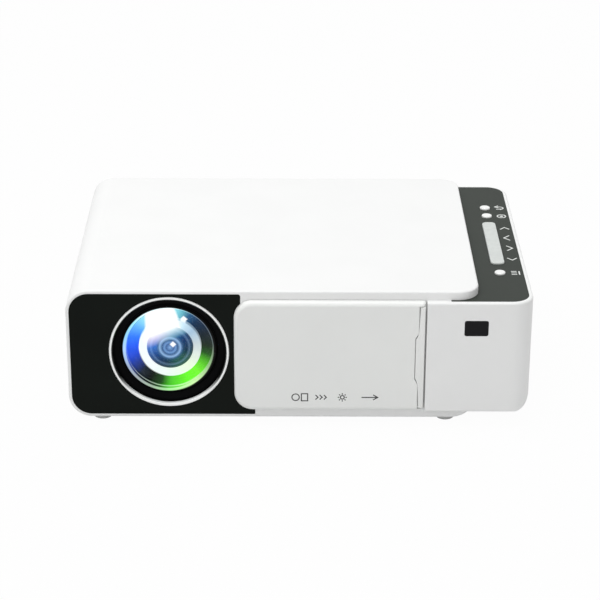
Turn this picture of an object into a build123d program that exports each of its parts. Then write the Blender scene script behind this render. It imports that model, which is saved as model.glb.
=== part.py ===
# Home theater projector: a white lens-shuttered box with its optics, electronics and controls.
# Millimetres, +Z up, X to the right seen from the front, the lens looks towards -Y.
# The origin is on the table under the middle of the body.
import os
from math import asin, cos, degrees, radians, sin, sqrt

from build123d import *

os.makedirs("parts", exist_ok=True)

# Overall body
body_width = 200.0
body_depth = 142.0
body_height = 62.6
foot_height = 3.0
wall = 1.5
corner_radius = 10.0
split_height = 18.0
edge_round = 0.8

# The raised block, the lower deck beside it and the outer level in front of it
deck_drop = 3.8
deck_width = 23.4
front_step = 3.2
skirt_rise = 4.3
base_inset = 23.0
base_curve = 11.0
plan_corner = 9.5
skirt_corner = 7.0
end_wall = 2.4
deck_rim = 1.7
deck_thickness = 2.0
seam_inset = 35.5

# Clearances
fixed_gap = 0.1
moving_gap = 0.3
button_gap = 0.25
running_gap = 0.05

# Sliding lens cover
lens_window = 71.9
end_face = 46.3
cover_lift = 4.6
cover_thickness = 2.9
cover_corner = 8.0
cover_edge = 2.0
cover_groove = 0.6
cover_skin = 1.6
grip_width = 2.8
grip_bulge = 1.5
grip_depth = 1.3
rod_radius = 1.5
rod_spacing = 18.0
rod_depth = 6.8
neck_height = 2.4
carriage_inset = 1.7
carriage_width = 9.0
magnet_radius = 3.0
magnet_depth = 2.0
rail_end = 3.0
rail_stop = 1.0
rail_gap = 0.4

# Lens and focus
lens_inset = 43.9
lens_rise = 1.1
lens_margin = 2.45
trim_face = 1.4
ring_width = 3.55
collar_width = 1.05
barrel_length = 33.6
barrel_set_back = 3.2
barrel_rim = 1.1
lens_land = 1.4
cell_opening = 9.9
cell_rim = 13.7
rear_lens_radius = 14.0
rear_seat_depth = 5.2
rear_stop_width = 1.8
inner_lens_radius = 12.0
housing_wall = 1.2
focus_turn = 36.0
focus_lead = 25.0
pin_radius = 1.2
pin_count = 3

# Optics behind the lens
mirror_length = 66.0
mirror_margin = 1.7
mirror_thickness = 2.0
chamber_wall = 2.0
chamber_reach = 32.0
chamber_gap = 1.5
image_width = 50.0
image_height = 40.0
image_border = 3.0
lcd_thickness = 2.4
fresnel_thickness = 1.6
funnel_wall = 1.5
funnel_end = 26.0
flange = 2.0
holder_length = 10.0
holder_wall = 6.0
led_board = 1.6
led_radius = 6.0
led_height = 1.2
sink_margin = 0.9
sink_gap = 8.6
sink_base = 4.0
fin_length = 22.0
fin_thickness = 1.0
fin_count = 11

# Fan
fan_depth = 12.0
fan_stand = 3.4
fan_wall = 1.4
fan_screw_inset = 4.0
hub_radius = 9.5
blade_count = 7

# Controls
button_radius = 2.4
button_rise = 0.7
button_travel = 0.5
button_inset = 12.1
power_y = 40.8
source_y = 30.5
menu_y = -37.9
bar_y = -3.2
bar_width = 6.2
bar_length = 49.6
bar_corner = 2.2
key_count = 4
key_board_width = 17.8
key_board_end = 9.0
key_post_radius = 2.0
key_post_inset = 3.5
switch_height = 2.8
switch_size = 6.0
flange_width = 1.0
flange_height = 1.3
window_inset = 19.4
window_width = 10.3
window_height = 7.2
window_drop = 8.2
window_corner = 0.9

# Boards and sockets
board = 1.6
board_lift = 6.5
board_inset = 14.5
board_end = 16.5
board_clear = 3.0
chip_size = 9.5
capacitor_radius = 3.2
driver_width = 64.0
driver_depth = 16.3
coil_radius = 4.0
hdmi_size = (15.0, 5.6)
usb_size = (13.2, 6.2)
jack_size = (7.0, 6.6)
jack_nose = 2.9
jack_radius = 1.8
jack_depth = 12.0
inlet_size = (9.5, 11.0)
inlet_nose = 4.1
inlet_radius = 3.0
inlet_depth = 10.0
inlet_pin_radius = 1.0
socket_length = 13.5
port_gap = 0.15
port_wall = 2.0
port_inset = 12.0
port_lift = 6.0
port_drop = 8.6

# Feet, tripod socket and elevation foot
foot_radius = 4.5
foot_peg = 2.0
foot_inset_left = 14.0
foot_inset_right = 13.0
foot_inset_y = 11.0
tripod_radius = 3.175
tripod_depth = 9.0
insert_radius = 5.0
knob_radius = 8.0
screw_radius = 3.0
screw_x = 12.0
screw_inset = 17.5

# Speaker
speaker_radius = 13.0
speaker_depth = 8.5
speaker_inset = 23.0

# Air slots
vent_width = 1.8
vent_pitch = 4.0
side_vent_length = 22.0
side_vent_count = 13
base_vent_length = 26.0
base_vent_count = 6
rear_vent_length = 18.0
rear_vent_count = 26
rear_vent_inset = 14.0
speaker_slot_length = 18.0
speaker_slot_pitch = 3.6
speaker_slot_count = 5

# Screws
post_radius = 3.6
post_inset = 12.0
post_inset_front = 21.0
post_right_front = 27.0
end_screw_inset = 41.0
head_radius = 2.8
head_height = 2.0
case_screw_radius = 1.45
case_screw_length = 20.0
end_screw_length = 9.5
screw_gap = 0.2

# Levels and lines that follow from the sizes above
left = -body_width / 2
right = body_width / 2
front = -body_depth / 2
rear = body_depth / 2
block_front = front + front_step
block_depth = rear - block_front
block_right = right - deck_width
base_right = right - base_inset
seam_x = right - seam_inset
floor_z = foot_height
floor_top = floor_z + wall
top_z = body_height
ceiling_z = top_z - wall
deck_z = top_z - deck_drop
skirt_z = floor_z + skirt_rise
split_z = split_height
panel_left = left + wall
cover_right = right - end_face
cover_left = left + lens_window
cover_low = floor_z + cover_lift
cover_width = cover_right - cover_left
cover_height = deck_z - cover_low
cover_back = front + cover_thickness
end_left = cover_right + cover_groove
carriage_right = cover_right - carriage_inset
carriage_left = carriage_right - carriage_width
rail_height = (cover_low + deck_z) / 2
button_x = right - button_inset
focus_slide = focus_lead * focus_turn / 360
bar_pitch = bar_length / key_count
deck_low = deck_z - deck_thickness
lens_x = left + lens_inset
lens_z = (floor_top + ceiling_z) / 2 + lens_rise
trim_radius = (ceiling_z - floor_top) / 2 - lens_margin
ring_radius = trim_radius - trim_face - moving_gap
barrel_radius = ring_radius - ring_width
front_lens_radius = barrel_radius - barrel_rim
collar_radius = ring_radius + collar_width
housing_radius = collar_radius + moving_gap + housing_wall
frame_left = lens_x + housing_radius + rail_gap
cover_travel = carriage_left - frame_left - rail_end - rail_stop
screw_y = front + screw_inset
speaker_y = rear - speaker_inset
speaker_z = (split_z + ceiling_z) / 2


def level(z):
    """A plane at height z, facing up."""
    return Plane.XY.offset(z)


def facing_front(y):
    """An upright plane at depth y that faces the front: its axes are X and Z."""
    return Plane.XZ.offset(-y)


def facing_right(x):
    """An upright plane at x that faces right: its axes are Y and Z."""
    return Plane.YZ.offset(x)


def block(x, y, z, mode=Mode.ADD):
    """A rectangular block between low and high X, Y and Z."""
    with Locations(((x[0] + x[1]) / 2, (y[0] + y[1]) / 2, (z[0] + z[1]) / 2)):
        Box(x[1] - x[0], y[1] - y[0], z[1] - z[0], mode=mode)


def round_bar(plane, places, radius, length, mode=Mode.ADD):
    """Round bars or holes that start on a plane at the given places and run along its normal."""
    with BuildSketch(plane) as circles:
        with Locations(*places):
            Circle(radius)
    extrude(circles.sketch, amount=length, mode=mode)


def turned(centre, direction, profile, mode=Mode.ADD):
    """A shape turned about an axis, from points of (radius, distance along the axis)."""
    side = (0, 0, 1) if abs(direction[2]) < 0.5 else (1, 0, 0)
    along = Vector(*direction)
    plane = Plane(centre, x_dir=side, z_dir=Vector(*side).cross(along))
    with BuildSketch(plane) as section:
        with BuildLine():
            Polyline(*profile, close=True)
        make_face()
    revolve(section.sketch, axis=Axis(centre, direction), mode=mode)


def corner_at(sketch, x, y):
    """The sketch's own corner nearest to a point."""
    return sketch.vertices().sort_by_distance((x, y, 0))[0]


# Front panel outline: the full height of the block beside the cover, a lower band behind it
panel_thickness = 2.2
step_high_x = cover_left + 2.7
step_low_x = cover_left + cover_corner + 0.9
band_low = cover_low + 1.5
band_high = deck_z - 3.8
band_right = cover_right - moving_gap
panel_corner = corner_radius - wall
panel_points = [
    (panel_left, floor_top),
    (panel_left, ceiling_z),
    (step_high_x, ceiling_z),
    (step_high_x, band_high),
    (band_right, band_high),
    (band_right, band_low),
    (step_low_x, band_low),
    (step_low_x, floor_top),
]


def panel_outline(plane, growth):
    """The front panel's outline on a plane, grown by a clearance."""
    with BuildSketch(plane) as outline:
        with BuildLine():
            Polyline(*panel_points, close=True)
        make_face()
        fillet(corner_at(outline, panel_left, floor_top), panel_corner)
        fillet(corner_at(outline, panel_left, ceiling_z), panel_corner)
        fillet(corner_at(outline, step_high_x, ceiling_z), 1.0)
        if growth:
            offset(amount=growth, kind=Kind.INTERSECTION)
    return outline.sketch


# The light path runs along X behind the lens, from the lamp at the right to the fold mirror
chamber_half = image_width / 2 + image_border
chamber_front = block_front + barrel_set_back + barrel_length - 1.0
chamber_right = lens_x + chamber_half
chamber_left = lens_x - chamber_half
chamber_top = ceiling_z - chamber_gap
fold_y = chamber_front + chamber_reach
fold_back = fold_y + chamber_half
lcd_x = chamber_right
fresnel_x = lcd_x + lcd_thickness
funnel_x = fresnel_x + fresnel_thickness

# Keys hang below the deck: flange, switch and key board in turn, with the fan under them
button_flange_top = deck_low - moving_gap
button_low = button_flange_top - flange_height
switch_top = button_low - button_travel - fixed_gap
key_board_top = switch_top - switch_height
key_board_z = key_board_top - board
end_floor = skirt_z + deck_thickness
fan_low = end_floor + moving_gap
fan_size = key_board_z - 2 * moving_gap - fan_low
fan_z = fan_low + fan_size / 2
fan_bore = fan_size / 2 - fan_wall
blade_tip = fan_bore - 2 * moving_gap
fan_hole_pitch = fan_size - 2 * fan_screw_inset
fan_x = right - end_wall - fan_stand - fan_depth

# The lamp's parts stand in a row that ends in front of the fan
sink_x = fan_x - sink_gap - fin_length - sink_base
led_x = sink_x - led_board
holder_x = led_x - holder_length
holder_size = funnel_end + 2 * holder_wall
condenser_radius = funnel_end / 2 - fixed_gap

sink_size = 2 * (deck_low - lens_z - sink_margin)

# Where the long case screws run, from the base up into the top cover, clear of the heat sink
boss_radius = post_radius + 0.6
post_front = front + post_right_front
post_rear = fold_y + sink_size / 2 + boss_radius + moving_gap
post_places = [
    (left + post_inset, front + post_inset_front),
    (left + post_inset, post_rear - 2.5),
    (seam_x - 6.5, post_front),
    (seam_x - 8.5, post_rear),
]
head_seat = floor_z + 2 * head_height
end_head_seat = floor_z + 0.4 + head_height
end_screw_x = seam_x + 0.1
end_screw_reach = rear - end_screw_inset
end_screw_places = [(end_screw_x, -end_screw_reach), (end_screw_x, end_screw_reach)]
end_post_top = skirt_z + 10.0

# Main board in the free strip behind the light path, with its sockets along the rear edge
main_board_z = floor_top + board_lift
main_board_top = main_board_z + board
main_board_left = panel_left + board_inset
main_board_right = seam_x - board_end
main_board_rear = rear - wall - 3.5
main_board_front = fold_back + board_clear
rear_panel_face = rear - wall - fixed_gap
rear_panel_back = rear_panel_face - port_wall
socket_face = rear_panel_face + 0.8
socket_back = socket_face - socket_length
hdmi_x = main_board_left + 24.0
inlet_x = main_board_right - 20.0
socket_step = (inlet_x - hdmi_x) / 4
usb_x = hdmi_x + socket_step
av_x = usb_x + socket_step
phones_x = av_x + socket_step
jack_z = main_board_top + jack_size[1] / 2
inlet_z = main_board_top + 6.0
port_left = left + port_inset
port_right = seam_x - 6.5
port_low = floor_z + port_lift
port_high = top_z - port_drop

# Lamp driver board between the elevation foot and the funnel
driver_board_z = floor_top + 4.5
driver_right = main_board_right - 2.0
driver_left = driver_right - driver_width
driver_front = screw_y + 6.7
driver_back = driver_front + driver_depth
driver_places = [
    (driver_left + 4, driver_front + 3.8),
    (driver_right - 4, driver_front + 3.8),
    (driver_left + 4, driver_back - 2.5),
    (driver_right - 4, driver_back - 2.5),
]
main_places = [
    (main_board_left + 4, main_board_front + 4),
    (main_board_right - 4, main_board_front + 4),
    (main_board_left + 4, main_board_rear - 4),
    (main_board_right - 4, main_board_rear - 4),
]
foot_x = (left + foot_inset_left, base_right - foot_inset_right)
foot_y = (front + foot_inset_y, rear - foot_inset_y)
foot_places = [(x, y) for x in foot_x for y in foot_y]


# Lower case: floor, low left wall, front apron under the cover and rounded right lip
with BuildPart() as base_cover:
    with BuildSketch(facing_front(rear)) as base_outline:
        with Locations(((left + base_right) / 2, (floor_z + 2 * split_z) / 2)):
            Rectangle(base_right - left, 2 * split_z - floor_z)
        fillet(corner_at(base_outline, left, floor_z), corner_radius)
        fillet(corner_at(base_outline, base_right, floor_z), base_curve)
    extrude(amount=block_depth)
    fillet(edges().group_by(Axis.Y)[0].sort_by(Axis.Z)[:-1], edge_round)
    fillet(edges().group_by(Axis.Y)[-1].sort_by(Axis.Z)[:-1], edge_round)
    with BuildSketch(facing_front(rear - wall)) as base_hollow:
        with Locations(((left + base_right) / 2, (floor_top + 3 * split_z) / 2)):
            Rectangle(base_right - left - 2 * wall, 3 * split_z - floor_top)
        fillet(corner_at(base_hollow, left + wall, floor_top), corner_radius - wall)
        fillet(corner_at(base_hollow, base_right - wall, floor_top), base_curve - wall)
    extrude(amount=block_depth - 2 * wall, mode=Mode.SUBTRACT)
    # Parting line with the top cover, and the low right side under the end block
    block((left - 1, right), (front, rear + 1), (split_z, 3 * split_z), mode=Mode.SUBTRACT)
    block((seam_x - 0.2, right), (front, rear + 1), (skirt_z - fixed_gap, split_z + 1), mode=Mode.SUBTRACT)
    # Front opening for the black panel, rear opening for the port panel
    extrude(
        panel_outline(facing_front(block_front + wall + 1), fixed_gap), amount=wall + 2, mode=Mode.SUBTRACT
    )
    block((port_left, port_right), (rear - wall - 1, rear + 1), (port_low, split_z + 1), mode=Mode.SUBTRACT)
    # Screw bosses, board standoffs, tripod boss and elevation foot boss
    round_bar(level(floor_top - 0.5), post_places, boss_radius, split_z - floor_top + 0.4)
    round_bar(level(floor_top - 0.5), end_screw_places, post_radius, skirt_z - floor_top + 0.4)
    round_bar(level(floor_top - 0.5), main_places, 2.5, main_board_z - floor_top + 0.5)
    round_bar(level(floor_top - 0.5), driver_places, 2.2, driver_board_z - floor_top + 0.5)
    round_bar(level(floor_top - 0.5), [(0, 0)], insert_radius + 2.5, tripod_depth + 0.5)
    round_bar(level(floor_top - 0.5), [(screw_x, screw_y)], knob_radius + 2.5, 5.0)
    round_bar(level(floor_top - 0.5), [(screw_x, screw_y)], screw_radius + 3.0, 13.0)
    head_bore = head_radius + screw_gap
    shank_bore = case_screw_radius + screw_gap
    round_bar(level(floor_z - 1), post_places, head_bore, head_seat - floor_z + 1, mode=Mode.SUBTRACT)
    round_bar(
        level(floor_z - 1), end_screw_places, head_bore, end_head_seat - floor_z + 1, mode=Mode.SUBTRACT
    )
    round_bar(level(floor_z - 1), post_places + end_screw_places, shank_bore, split_z, mode=Mode.SUBTRACT)
    round_bar(level(floor_z - 1), foot_places, foot_peg + running_gap, wall + 2, mode=Mode.SUBTRACT)
    round_bar(
        level(floor_z - 1), [(0, 0)], insert_radius + running_gap, tripod_depth + 1, mode=Mode.SUBTRACT
    )
    round_bar(level(floor_z - 1), [(screw_x, screw_y)], knob_radius + 1.0, 5.0, mode=Mode.SUBTRACT)
    round_bar(level(floor_z - 1), [(screw_x, screw_y)], screw_radius + running_gap, 20.0, mode=Mode.SUBTRACT)
    # Air slots under the lamp
    with BuildSketch(level(floor_z - 1)):
        with Locations((sink_x + 2, fold_y)):
            with GridLocations(vent_pitch, vent_pitch, base_vent_count, 1):
                SlotOverall(base_vent_length, vent_width, rotation=90)
    extrude(amount=wall + 2, mode=Mode.SUBTRACT)
base_cover.part.label = "base_cover"
export_step(base_cover.part, "parts/base_cover.step")

# Upper case: the raised white slab, its left wall, the aprons above the cover and the port panel
with BuildPart() as top_room:
    with BuildSketch(facing_front(rear - wall)) as room_outline:
        with Locations(((left + block_right) / 2, ceiling_z / 2)):
            Rectangle(block_right - left - 2 * wall, ceiling_z)
        fillet(corner_at(room_outline, left + wall, ceiling_z), corner_radius - wall)
    extrude(amount=block_depth - 2 * wall)
    fillet(edges().filter_by(Axis.Z).group_by(Axis.X)[-1], plan_corner - wall)

with BuildPart() as top_cover:
    with BuildSketch(facing_front(rear)) as top_outline:
        with Locations(((left + block_right) / 2, (top_z + split_z) / 2)):
            Rectangle(block_right - left, top_z - split_z)
        fillet(corner_at(top_outline, left, top_z), corner_radius)
    extrude(amount=block_depth)
    fillet(edges().filter_by(Axis.Z).group_by(Axis.X)[-1], plan_corner)
    slab_rim = faces().sort_by(Axis.Z)[-1].edges().sort_by(Axis.X)[1:]
    left_arcs = edges().filter_by(GeomType.CIRCLE).group_by(Axis.X)[0]
    left_uprights = edges().filter_by(Axis.Z).group_by(Axis.X)[0]
    fillet(slab_rim + left_arcs + left_uprights, edge_round)
    add(top_room.part, mode=Mode.SUBTRACT)
    extrude(
        panel_outline(facing_front(block_front + wall + 1), fixed_gap), amount=wall + 2, mode=Mode.SUBTRACT
    )
    # The right side stands on the deck, and the port panel shows through the rear wall
    block((seam_x - 0.2, right), (front, rear + 1), (split_z - 1, deck_z + 0.05), mode=Mode.SUBTRACT)
    with BuildSketch(facing_front(rear + 1)) as port_opening:
        with Locations(((port_left + port_right) / 2, (port_low + port_high) / 2)):
            RectangleRounded(port_right - port_left, port_high - port_low, 3.0)
    extrude(amount=wall + 2, mode=Mode.SUBTRACT)
    # Screw posts hang from the ceiling down to the parting line
    round_bar(level(split_z + fixed_gap), post_places, post_radius, ceiling_z - split_z)
    round_bar(level(split_z), post_places, case_screw_radius + 0.05, case_screw_length, mode=Mode.SUBTRACT)
    # Air slots and speaker slots in the left wall
    with BuildSketch(facing_right(left - 1)):
        with Locations((-8.0, (split_z + band_high) / 2)):
            with GridLocations(vent_pitch, vent_pitch, side_vent_count, 1):
                SlotOverall(side_vent_length, vent_width, rotation=90)
        with Locations((speaker_y, speaker_z)):
            with GridLocations(speaker_slot_pitch, speaker_slot_pitch, 1, speaker_slot_count):
                SlotOverall(speaker_slot_length, vent_width)
    extrude(amount=wall + 2, mode=Mode.SUBTRACT)
top_cover.part.label = "top_cover"
export_step(top_cover.part, "parts/top_cover.step")


# The remote receiver's window in the end block's front wall
window_x = right - window_inset - window_width / 2
window_z = deck_z - window_drop - window_height / 2


def window_shape(y, growth):
    """The window's rounded outline at a depth, grown by a clearance or a flange."""
    with BuildSketch(facing_front(y)) as outline:
        with Locations((window_x, window_z)):
            RectangleRounded(window_width + 2 * growth, window_height + 2 * growth, window_corner + growth)
    return outline.sketch


def end_shape(inset, low, high, corner, lower_corner, top_round):
    """The right end block's outline, inset on its three outer sides, between two heights."""
    width = right - inset - end_left
    middle_x = end_left + width / 2
    with BuildPart() as shape:
        with BuildSketch(level(low)) as plan:
            with Locations((middle_x, 0)):
                Rectangle(width, body_depth - 2 * inset)
            fillet(plan.vertices().group_by(Axis.X)[-1], corner)
        extrude(amount=high - low)
        if top_round:
            fillet(faces().sort_by(Axis.Z)[-1].edges().sort_by(Axis.X)[1:], top_round)
        if lower_corner:
            with BuildSketch(facing_front(rear)) as front_view:
                with Locations((middle_x, (low + high) / 2)):
                    Rectangle(width, high - low)
                fillet(corner_at(front_view, right - inset, low), lower_corner)
            extrude(amount=body_depth, mode=Mode.INTERSECT)
            with BuildSketch(facing_right(end_left)) as side_view:
                with Locations((0, (low + high) / 2)):
                    Rectangle(body_depth - 2 * inset, high - low)
                fillet(side_view.vertices().group_by(Axis.Z)[0], edge_round)
            extrude(amount=width, mode=Mode.INTERSECT)
    return shape.part


# Right end block: the proud front corner, the right side and the rim around the control deck
end_body = end_shape(0, skirt_z, deck_z, plan_corner, skirt_corner, 1.0)
end_room = end_shape(end_wall, end_floor, deck_low, plan_corner - end_wall, skirt_corner - deck_thickness, 0)
deck_room = end_shape(deck_rim, deck_low, deck_z + 1, plan_corner - deck_rim, 0, 0)
with BuildPart() as end_block:
    add(end_body)
    add(end_room, mode=Mode.SUBTRACT)
    add(deck_room, mode=Mode.SUBTRACT)
    inner_front = front + end_wall
    block((end_left - 1, seam_x), (inner_front, rear + 1), (skirt_z - 1, deck_z + 1), mode=Mode.SUBTRACT)
    # Filler behind the front wall beside the block, and the top strip in front of the slab
    block((end_left, seam_x), (front + end_wall / 2, block_front - fixed_gap), (end_floor, deck_z))
    # Tongue over the base with its screw posts
    block((seam_x - post_radius - 0.3, seam_x + 6), (front + 35, rear - 35), (skirt_z, end_floor))
    round_bar(level(skirt_z), end_screw_places, post_radius, end_post_top - skirt_z)
    round_bar(level(skirt_z - 1), end_screw_places, case_screw_radius + 0.05, 9.0, mode=Mode.SUBTRACT)
    # Standoffs that carry the fan
    with BuildSketch(facing_right(fan_x + fan_depth + running_gap)):
        with Locations((fold_y, fan_z)):
            with GridLocations(fan_hole_pitch, fan_hole_pitch, 2, 2):
                Circle(3.0)
    extrude(amount=fan_stand + 0.5)
    # Window for the remote receiver
    window = window_shape(front + 4, 0)
    extrude(window, amount=5, mode=Mode.SUBTRACT)
    # Exhaust grille in the right wall
    with BuildSketch(facing_right(right - end_wall - 1)):
        with Locations((fold_y, fan_z)):
            with GridLocations(fan_size, (fan_size - 4.8) / 8, 1, 8):
                SlotOverall(fan_size - 4.0, 2.2)
    extrude(amount=end_wall + 2, mode=Mode.SUBTRACT)
end_block.part.label = "end_block"
export_step(end_block.part, "parts/end_block.step")

# Glossy black front panel with the lens bore and the slot that the cover's carriage runs in
slot_low_x = carriage_left - cover_travel - 0.5
slot_high_x = carriage_right + 0.5
with BuildPart() as front_panel:
    extrude(panel_outline(facing_front(block_front + panel_thickness), 0), amount=panel_thickness)
    round_bar(
        facing_front(block_front + 3), [(lens_x, lens_z)], trim_radius + fixed_gap, 4, mode=Mode.SUBTRACT
    )
    with BuildSketch(facing_front(block_front + 3)):
        with Locations(((slot_low_x + slot_high_x) / 2, rail_height)):
            Rectangle(slot_high_x - slot_low_x, neck_height + 2 * moving_gap)
    extrude(amount=4, mode=Mode.SUBTRACT)
front_panel.part.label = "front_panel"
export_step(front_panel.part, "parts/front_panel.step")

# Black port panel behind the rear opening, with a cut-out for each socket and air slots
rear_vent_pitch = (port_right - port_left - 2 * rear_vent_length) / (rear_vent_count - 1)
with BuildPart() as rear_panel:
    with BuildSketch(facing_front(rear_panel_face)):
        with Locations(((port_left + port_right) / 2, (port_low + port_high) / 2)):
            RectangleRounded(port_right - port_left + 4.4, port_high - port_low + 4.4, 4.0)
        with Locations((hdmi_x, main_board_top + hdmi_size[1] / 2)):
            Rectangle(hdmi_size[0] + 2 * port_gap, hdmi_size[1] + 2 * port_gap, mode=Mode.SUBTRACT)
        with Locations((usb_x, main_board_top + usb_size[1] / 2)):
            Rectangle(usb_size[0] + 2 * port_gap, usb_size[1] + 2 * port_gap, mode=Mode.SUBTRACT)
        with Locations((av_x, jack_z), (phones_x, jack_z)):
            Circle(jack_nose + port_gap, mode=Mode.SUBTRACT)
        with Locations((inlet_x, inlet_z)):
            Circle(inlet_nose + port_gap, mode=Mode.SUBTRACT)
        with Locations(((port_left + port_right) / 2, port_high - rear_vent_inset)):
            with GridLocations(rear_vent_pitch, rear_vent_pitch, rear_vent_count, 1):
                SlotOverall(rear_vent_length, vent_width, rotation=90, mode=Mode.SUBTRACT)
    extrude(amount=port_wall)
rear_panel.part.label = "rear_panel"
export_step(rear_panel.part, "parts/rear_panel.step")

# Dark control deck with button holes, the key bar's opening and the key board's standoffs
key_board_left = button_x - key_board_width / 2
key_board_right = button_x + key_board_width / 2
key_board_front = menu_y - key_board_end
key_board_rear = power_y + key_board_end
with BuildPart() as control_panel:
    with BuildSketch(level(deck_low)) as deck_outline:
        with Locations(((seam_x + right - deck_rim) / 2, 0)):
            Rectangle(right - deck_rim - seam_x - 2 * fixed_gap, body_depth - 2 * deck_rim - 2 * fixed_gap)
        fillet(deck_outline.vertices().group_by(Axis.X)[-1], plan_corner - deck_rim - fixed_gap)
        with Locations((button_x, power_y), (button_x, source_y), (button_x, menu_y)):
            Circle(button_radius + button_gap, mode=Mode.SUBTRACT)
        with Locations((button_x, bar_y)):
            RectangleRounded(
                bar_width + 2 * button_gap,
                bar_length + 2 * button_gap,
                bar_corner + button_gap,
                mode=Mode.SUBTRACT,
            )
    extrude(amount=deck_thickness)
    post_x = (key_board_left + key_post_radius, key_board_right - key_post_radius)
    post_y = (key_board_front + key_post_inset, key_board_rear - key_post_inset)
    deck_posts = [(x, y) for x in post_x for y in post_y]
    round_bar(level(key_board_top), deck_posts, key_post_radius, deck_low - key_board_top + 0.5)
control_panel.part.label = "control_panel"
export_step(control_panel.part, "parts/control_panel.step")

# Press buttons: a cap through the deck with a flange below it
for name, place in (("power_button", power_y), ("source_button", source_y), ("menu_button", menu_y)):
    with BuildPart() as button:
        round_bar(level(button_low), [(button_x, place)], button_radius, deck_z + button_rise - button_low)
        fillet(edges().sort_by(Axis.Z)[-1], 0.5)
        round_bar(
            level(button_low),
            [(button_x, place)],
            button_radius + flange_width,
            button_flange_top - button_low,
        )
    button.part.label = name
    export_step(button.part, f"parts/{name}.step")

# The long key bar that covers the four arrow switches
with BuildPart() as arrow_bar:
    with BuildSketch(level(button_low)):
        with Locations((button_x, bar_y)):
            RectangleRounded(bar_width, bar_length, bar_corner)
    extrude(amount=deck_z + button_rise - button_low)
    fillet(faces().sort_by(Axis.Z)[-1].edges(), 0.5)
    with BuildSketch(level(button_low)):
        with Locations((button_x, bar_y)):
            RectangleRounded(
                bar_width + 2 * flange_width, bar_length + 2 * flange_width, bar_corner + flange_width
            )
    extrude(amount=button_flange_top - button_low)
arrow_bar.part.label = "arrow_bar"
export_step(arrow_bar.part, "parts/arrow_bar.step")

# Key board and its seven tact switches
arrow_places = [(button_x, bar_y + (index - (key_count - 1) / 2) * bar_pitch) for index in range(key_count)]
switch_places = [(button_x, power_y), (button_x, source_y), (button_x, menu_y)] + arrow_places
with BuildPart() as key_board:
    block((key_board_left, key_board_right), (key_board_front, key_board_rear), (key_board_z, key_board_top))
key_board.part.label = "key_board"
export_step(key_board.part, "parts/key_board.step")

with BuildPart() as tact_switches:
    with BuildSketch(level(key_board_top)):
        with Locations(*switch_places):
            Rectangle(switch_size, switch_size)
    extrude(amount=switch_height - 0.5)
    round_bar(level(key_board_top), switch_places, 1.6, switch_height)
tact_switches.part.label = "tact_switches"
export_step(tact_switches.part, "parts/tact_switches.step")

# Remote receiver and its dark window in the end block's front wall
with BuildPart() as ir_window:
    extrude(window_shape(front + end_wall, -running_gap), amount=end_wall - fixed_gap)
    extrude(window_shape(front + end_wall + 1.0, 1.0), amount=1.0)
ir_window.part.label = "ir_window"
export_step(ir_window.part, "parts/ir_window.step")

with BuildPart() as ir_receiver:
    dome_y = front + end_wall + 1.0
    block((window_x - 4.5, window_x + 4.5), (dome_y + 1.4, dome_y + 5.0), (window_z - 4, window_z + 4))
    turned((window_x, dome_y, window_z), (0, 1, 0), [(0, 0), (2.2, 0.6), (2.9, 2.0), (0, 2.0)])
ir_receiver.part.label = "ir_receiver"
export_step(ir_receiver.part, "parts/ir_receiver.step")

# Sliding lens cover: a shallow shell with a seat for the finger grip and a pad for the carriage
grip_left = cover_right - grip_width
grip_points = [
    (cover_right, deck_z - 1.7),
    (grip_left, deck_z - 1.7),
    (grip_left, rail_height + 11.2),
    (grip_left - grip_bulge, rail_height + 8.9),
    (grip_left - grip_bulge, rail_height - 10.1),
    (grip_left, rail_height - 12.9),
    (grip_left, cover_low + 0.9),
    (cover_right, cover_low + 0.9),
]
with BuildPart() as slide_cover:
    with BuildSketch(facing_front(cover_back)) as cover_outline:
        with Locations(((cover_left + cover_right) / 2, (cover_low + deck_z) / 2)):
            Rectangle(cover_width, cover_height)
        fillet(cover_outline.vertices().group_by(Axis.X)[0], cover_corner)
        fillet(cover_outline.vertices().group_by(Axis.X)[-1], 1.0)
    extrude(amount=cover_thickness)
    front_rim = faces().sort_by(Axis.Y)[0].edges().sort_by(Axis.X)[:-3]
    fillet(front_rim, cover_edge)
    with BuildSketch(facing_front(cover_back)):
        with Locations(((cover_left + cover_skin + carriage_left - 1) / 2, (cover_low + deck_z) / 2)):
            Rectangle(carriage_left - 1 - cover_left - cover_skin, cover_height - 2 * cover_skin)
        fillet(vertices().group_by(Axis.X)[0], cover_corner - cover_skin)
    extrude(amount=cover_thickness - cover_skin, mode=Mode.SUBTRACT)
    with BuildSketch(facing_front(front + grip_depth)):
        with BuildLine():
            Polyline(*grip_points, close=True)
        make_face()
    extrude(amount=grip_depth + 1, mode=Mode.SUBTRACT)
slide_cover.part.label = "slide_cover"
export_step(slide_cover.part, "parts/slide_cover.step")

# Finger grip let into the cover's right edge
with BuildPart() as cover_grip:
    with BuildSketch(facing_front(front + grip_depth)):
        with BuildLine():
            Polyline(*grip_points, close=True)
        make_face()
        offset(amount=-port_gap, kind=Kind.INTERSECTION)
    extrude(amount=grip_depth)
    fillet(faces().sort_by(Axis.Y)[0].edges(), 0.3)
cover_grip.part.label = "cover_grip"
export_step(cover_grip.part, "parts/cover_grip.step")

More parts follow.
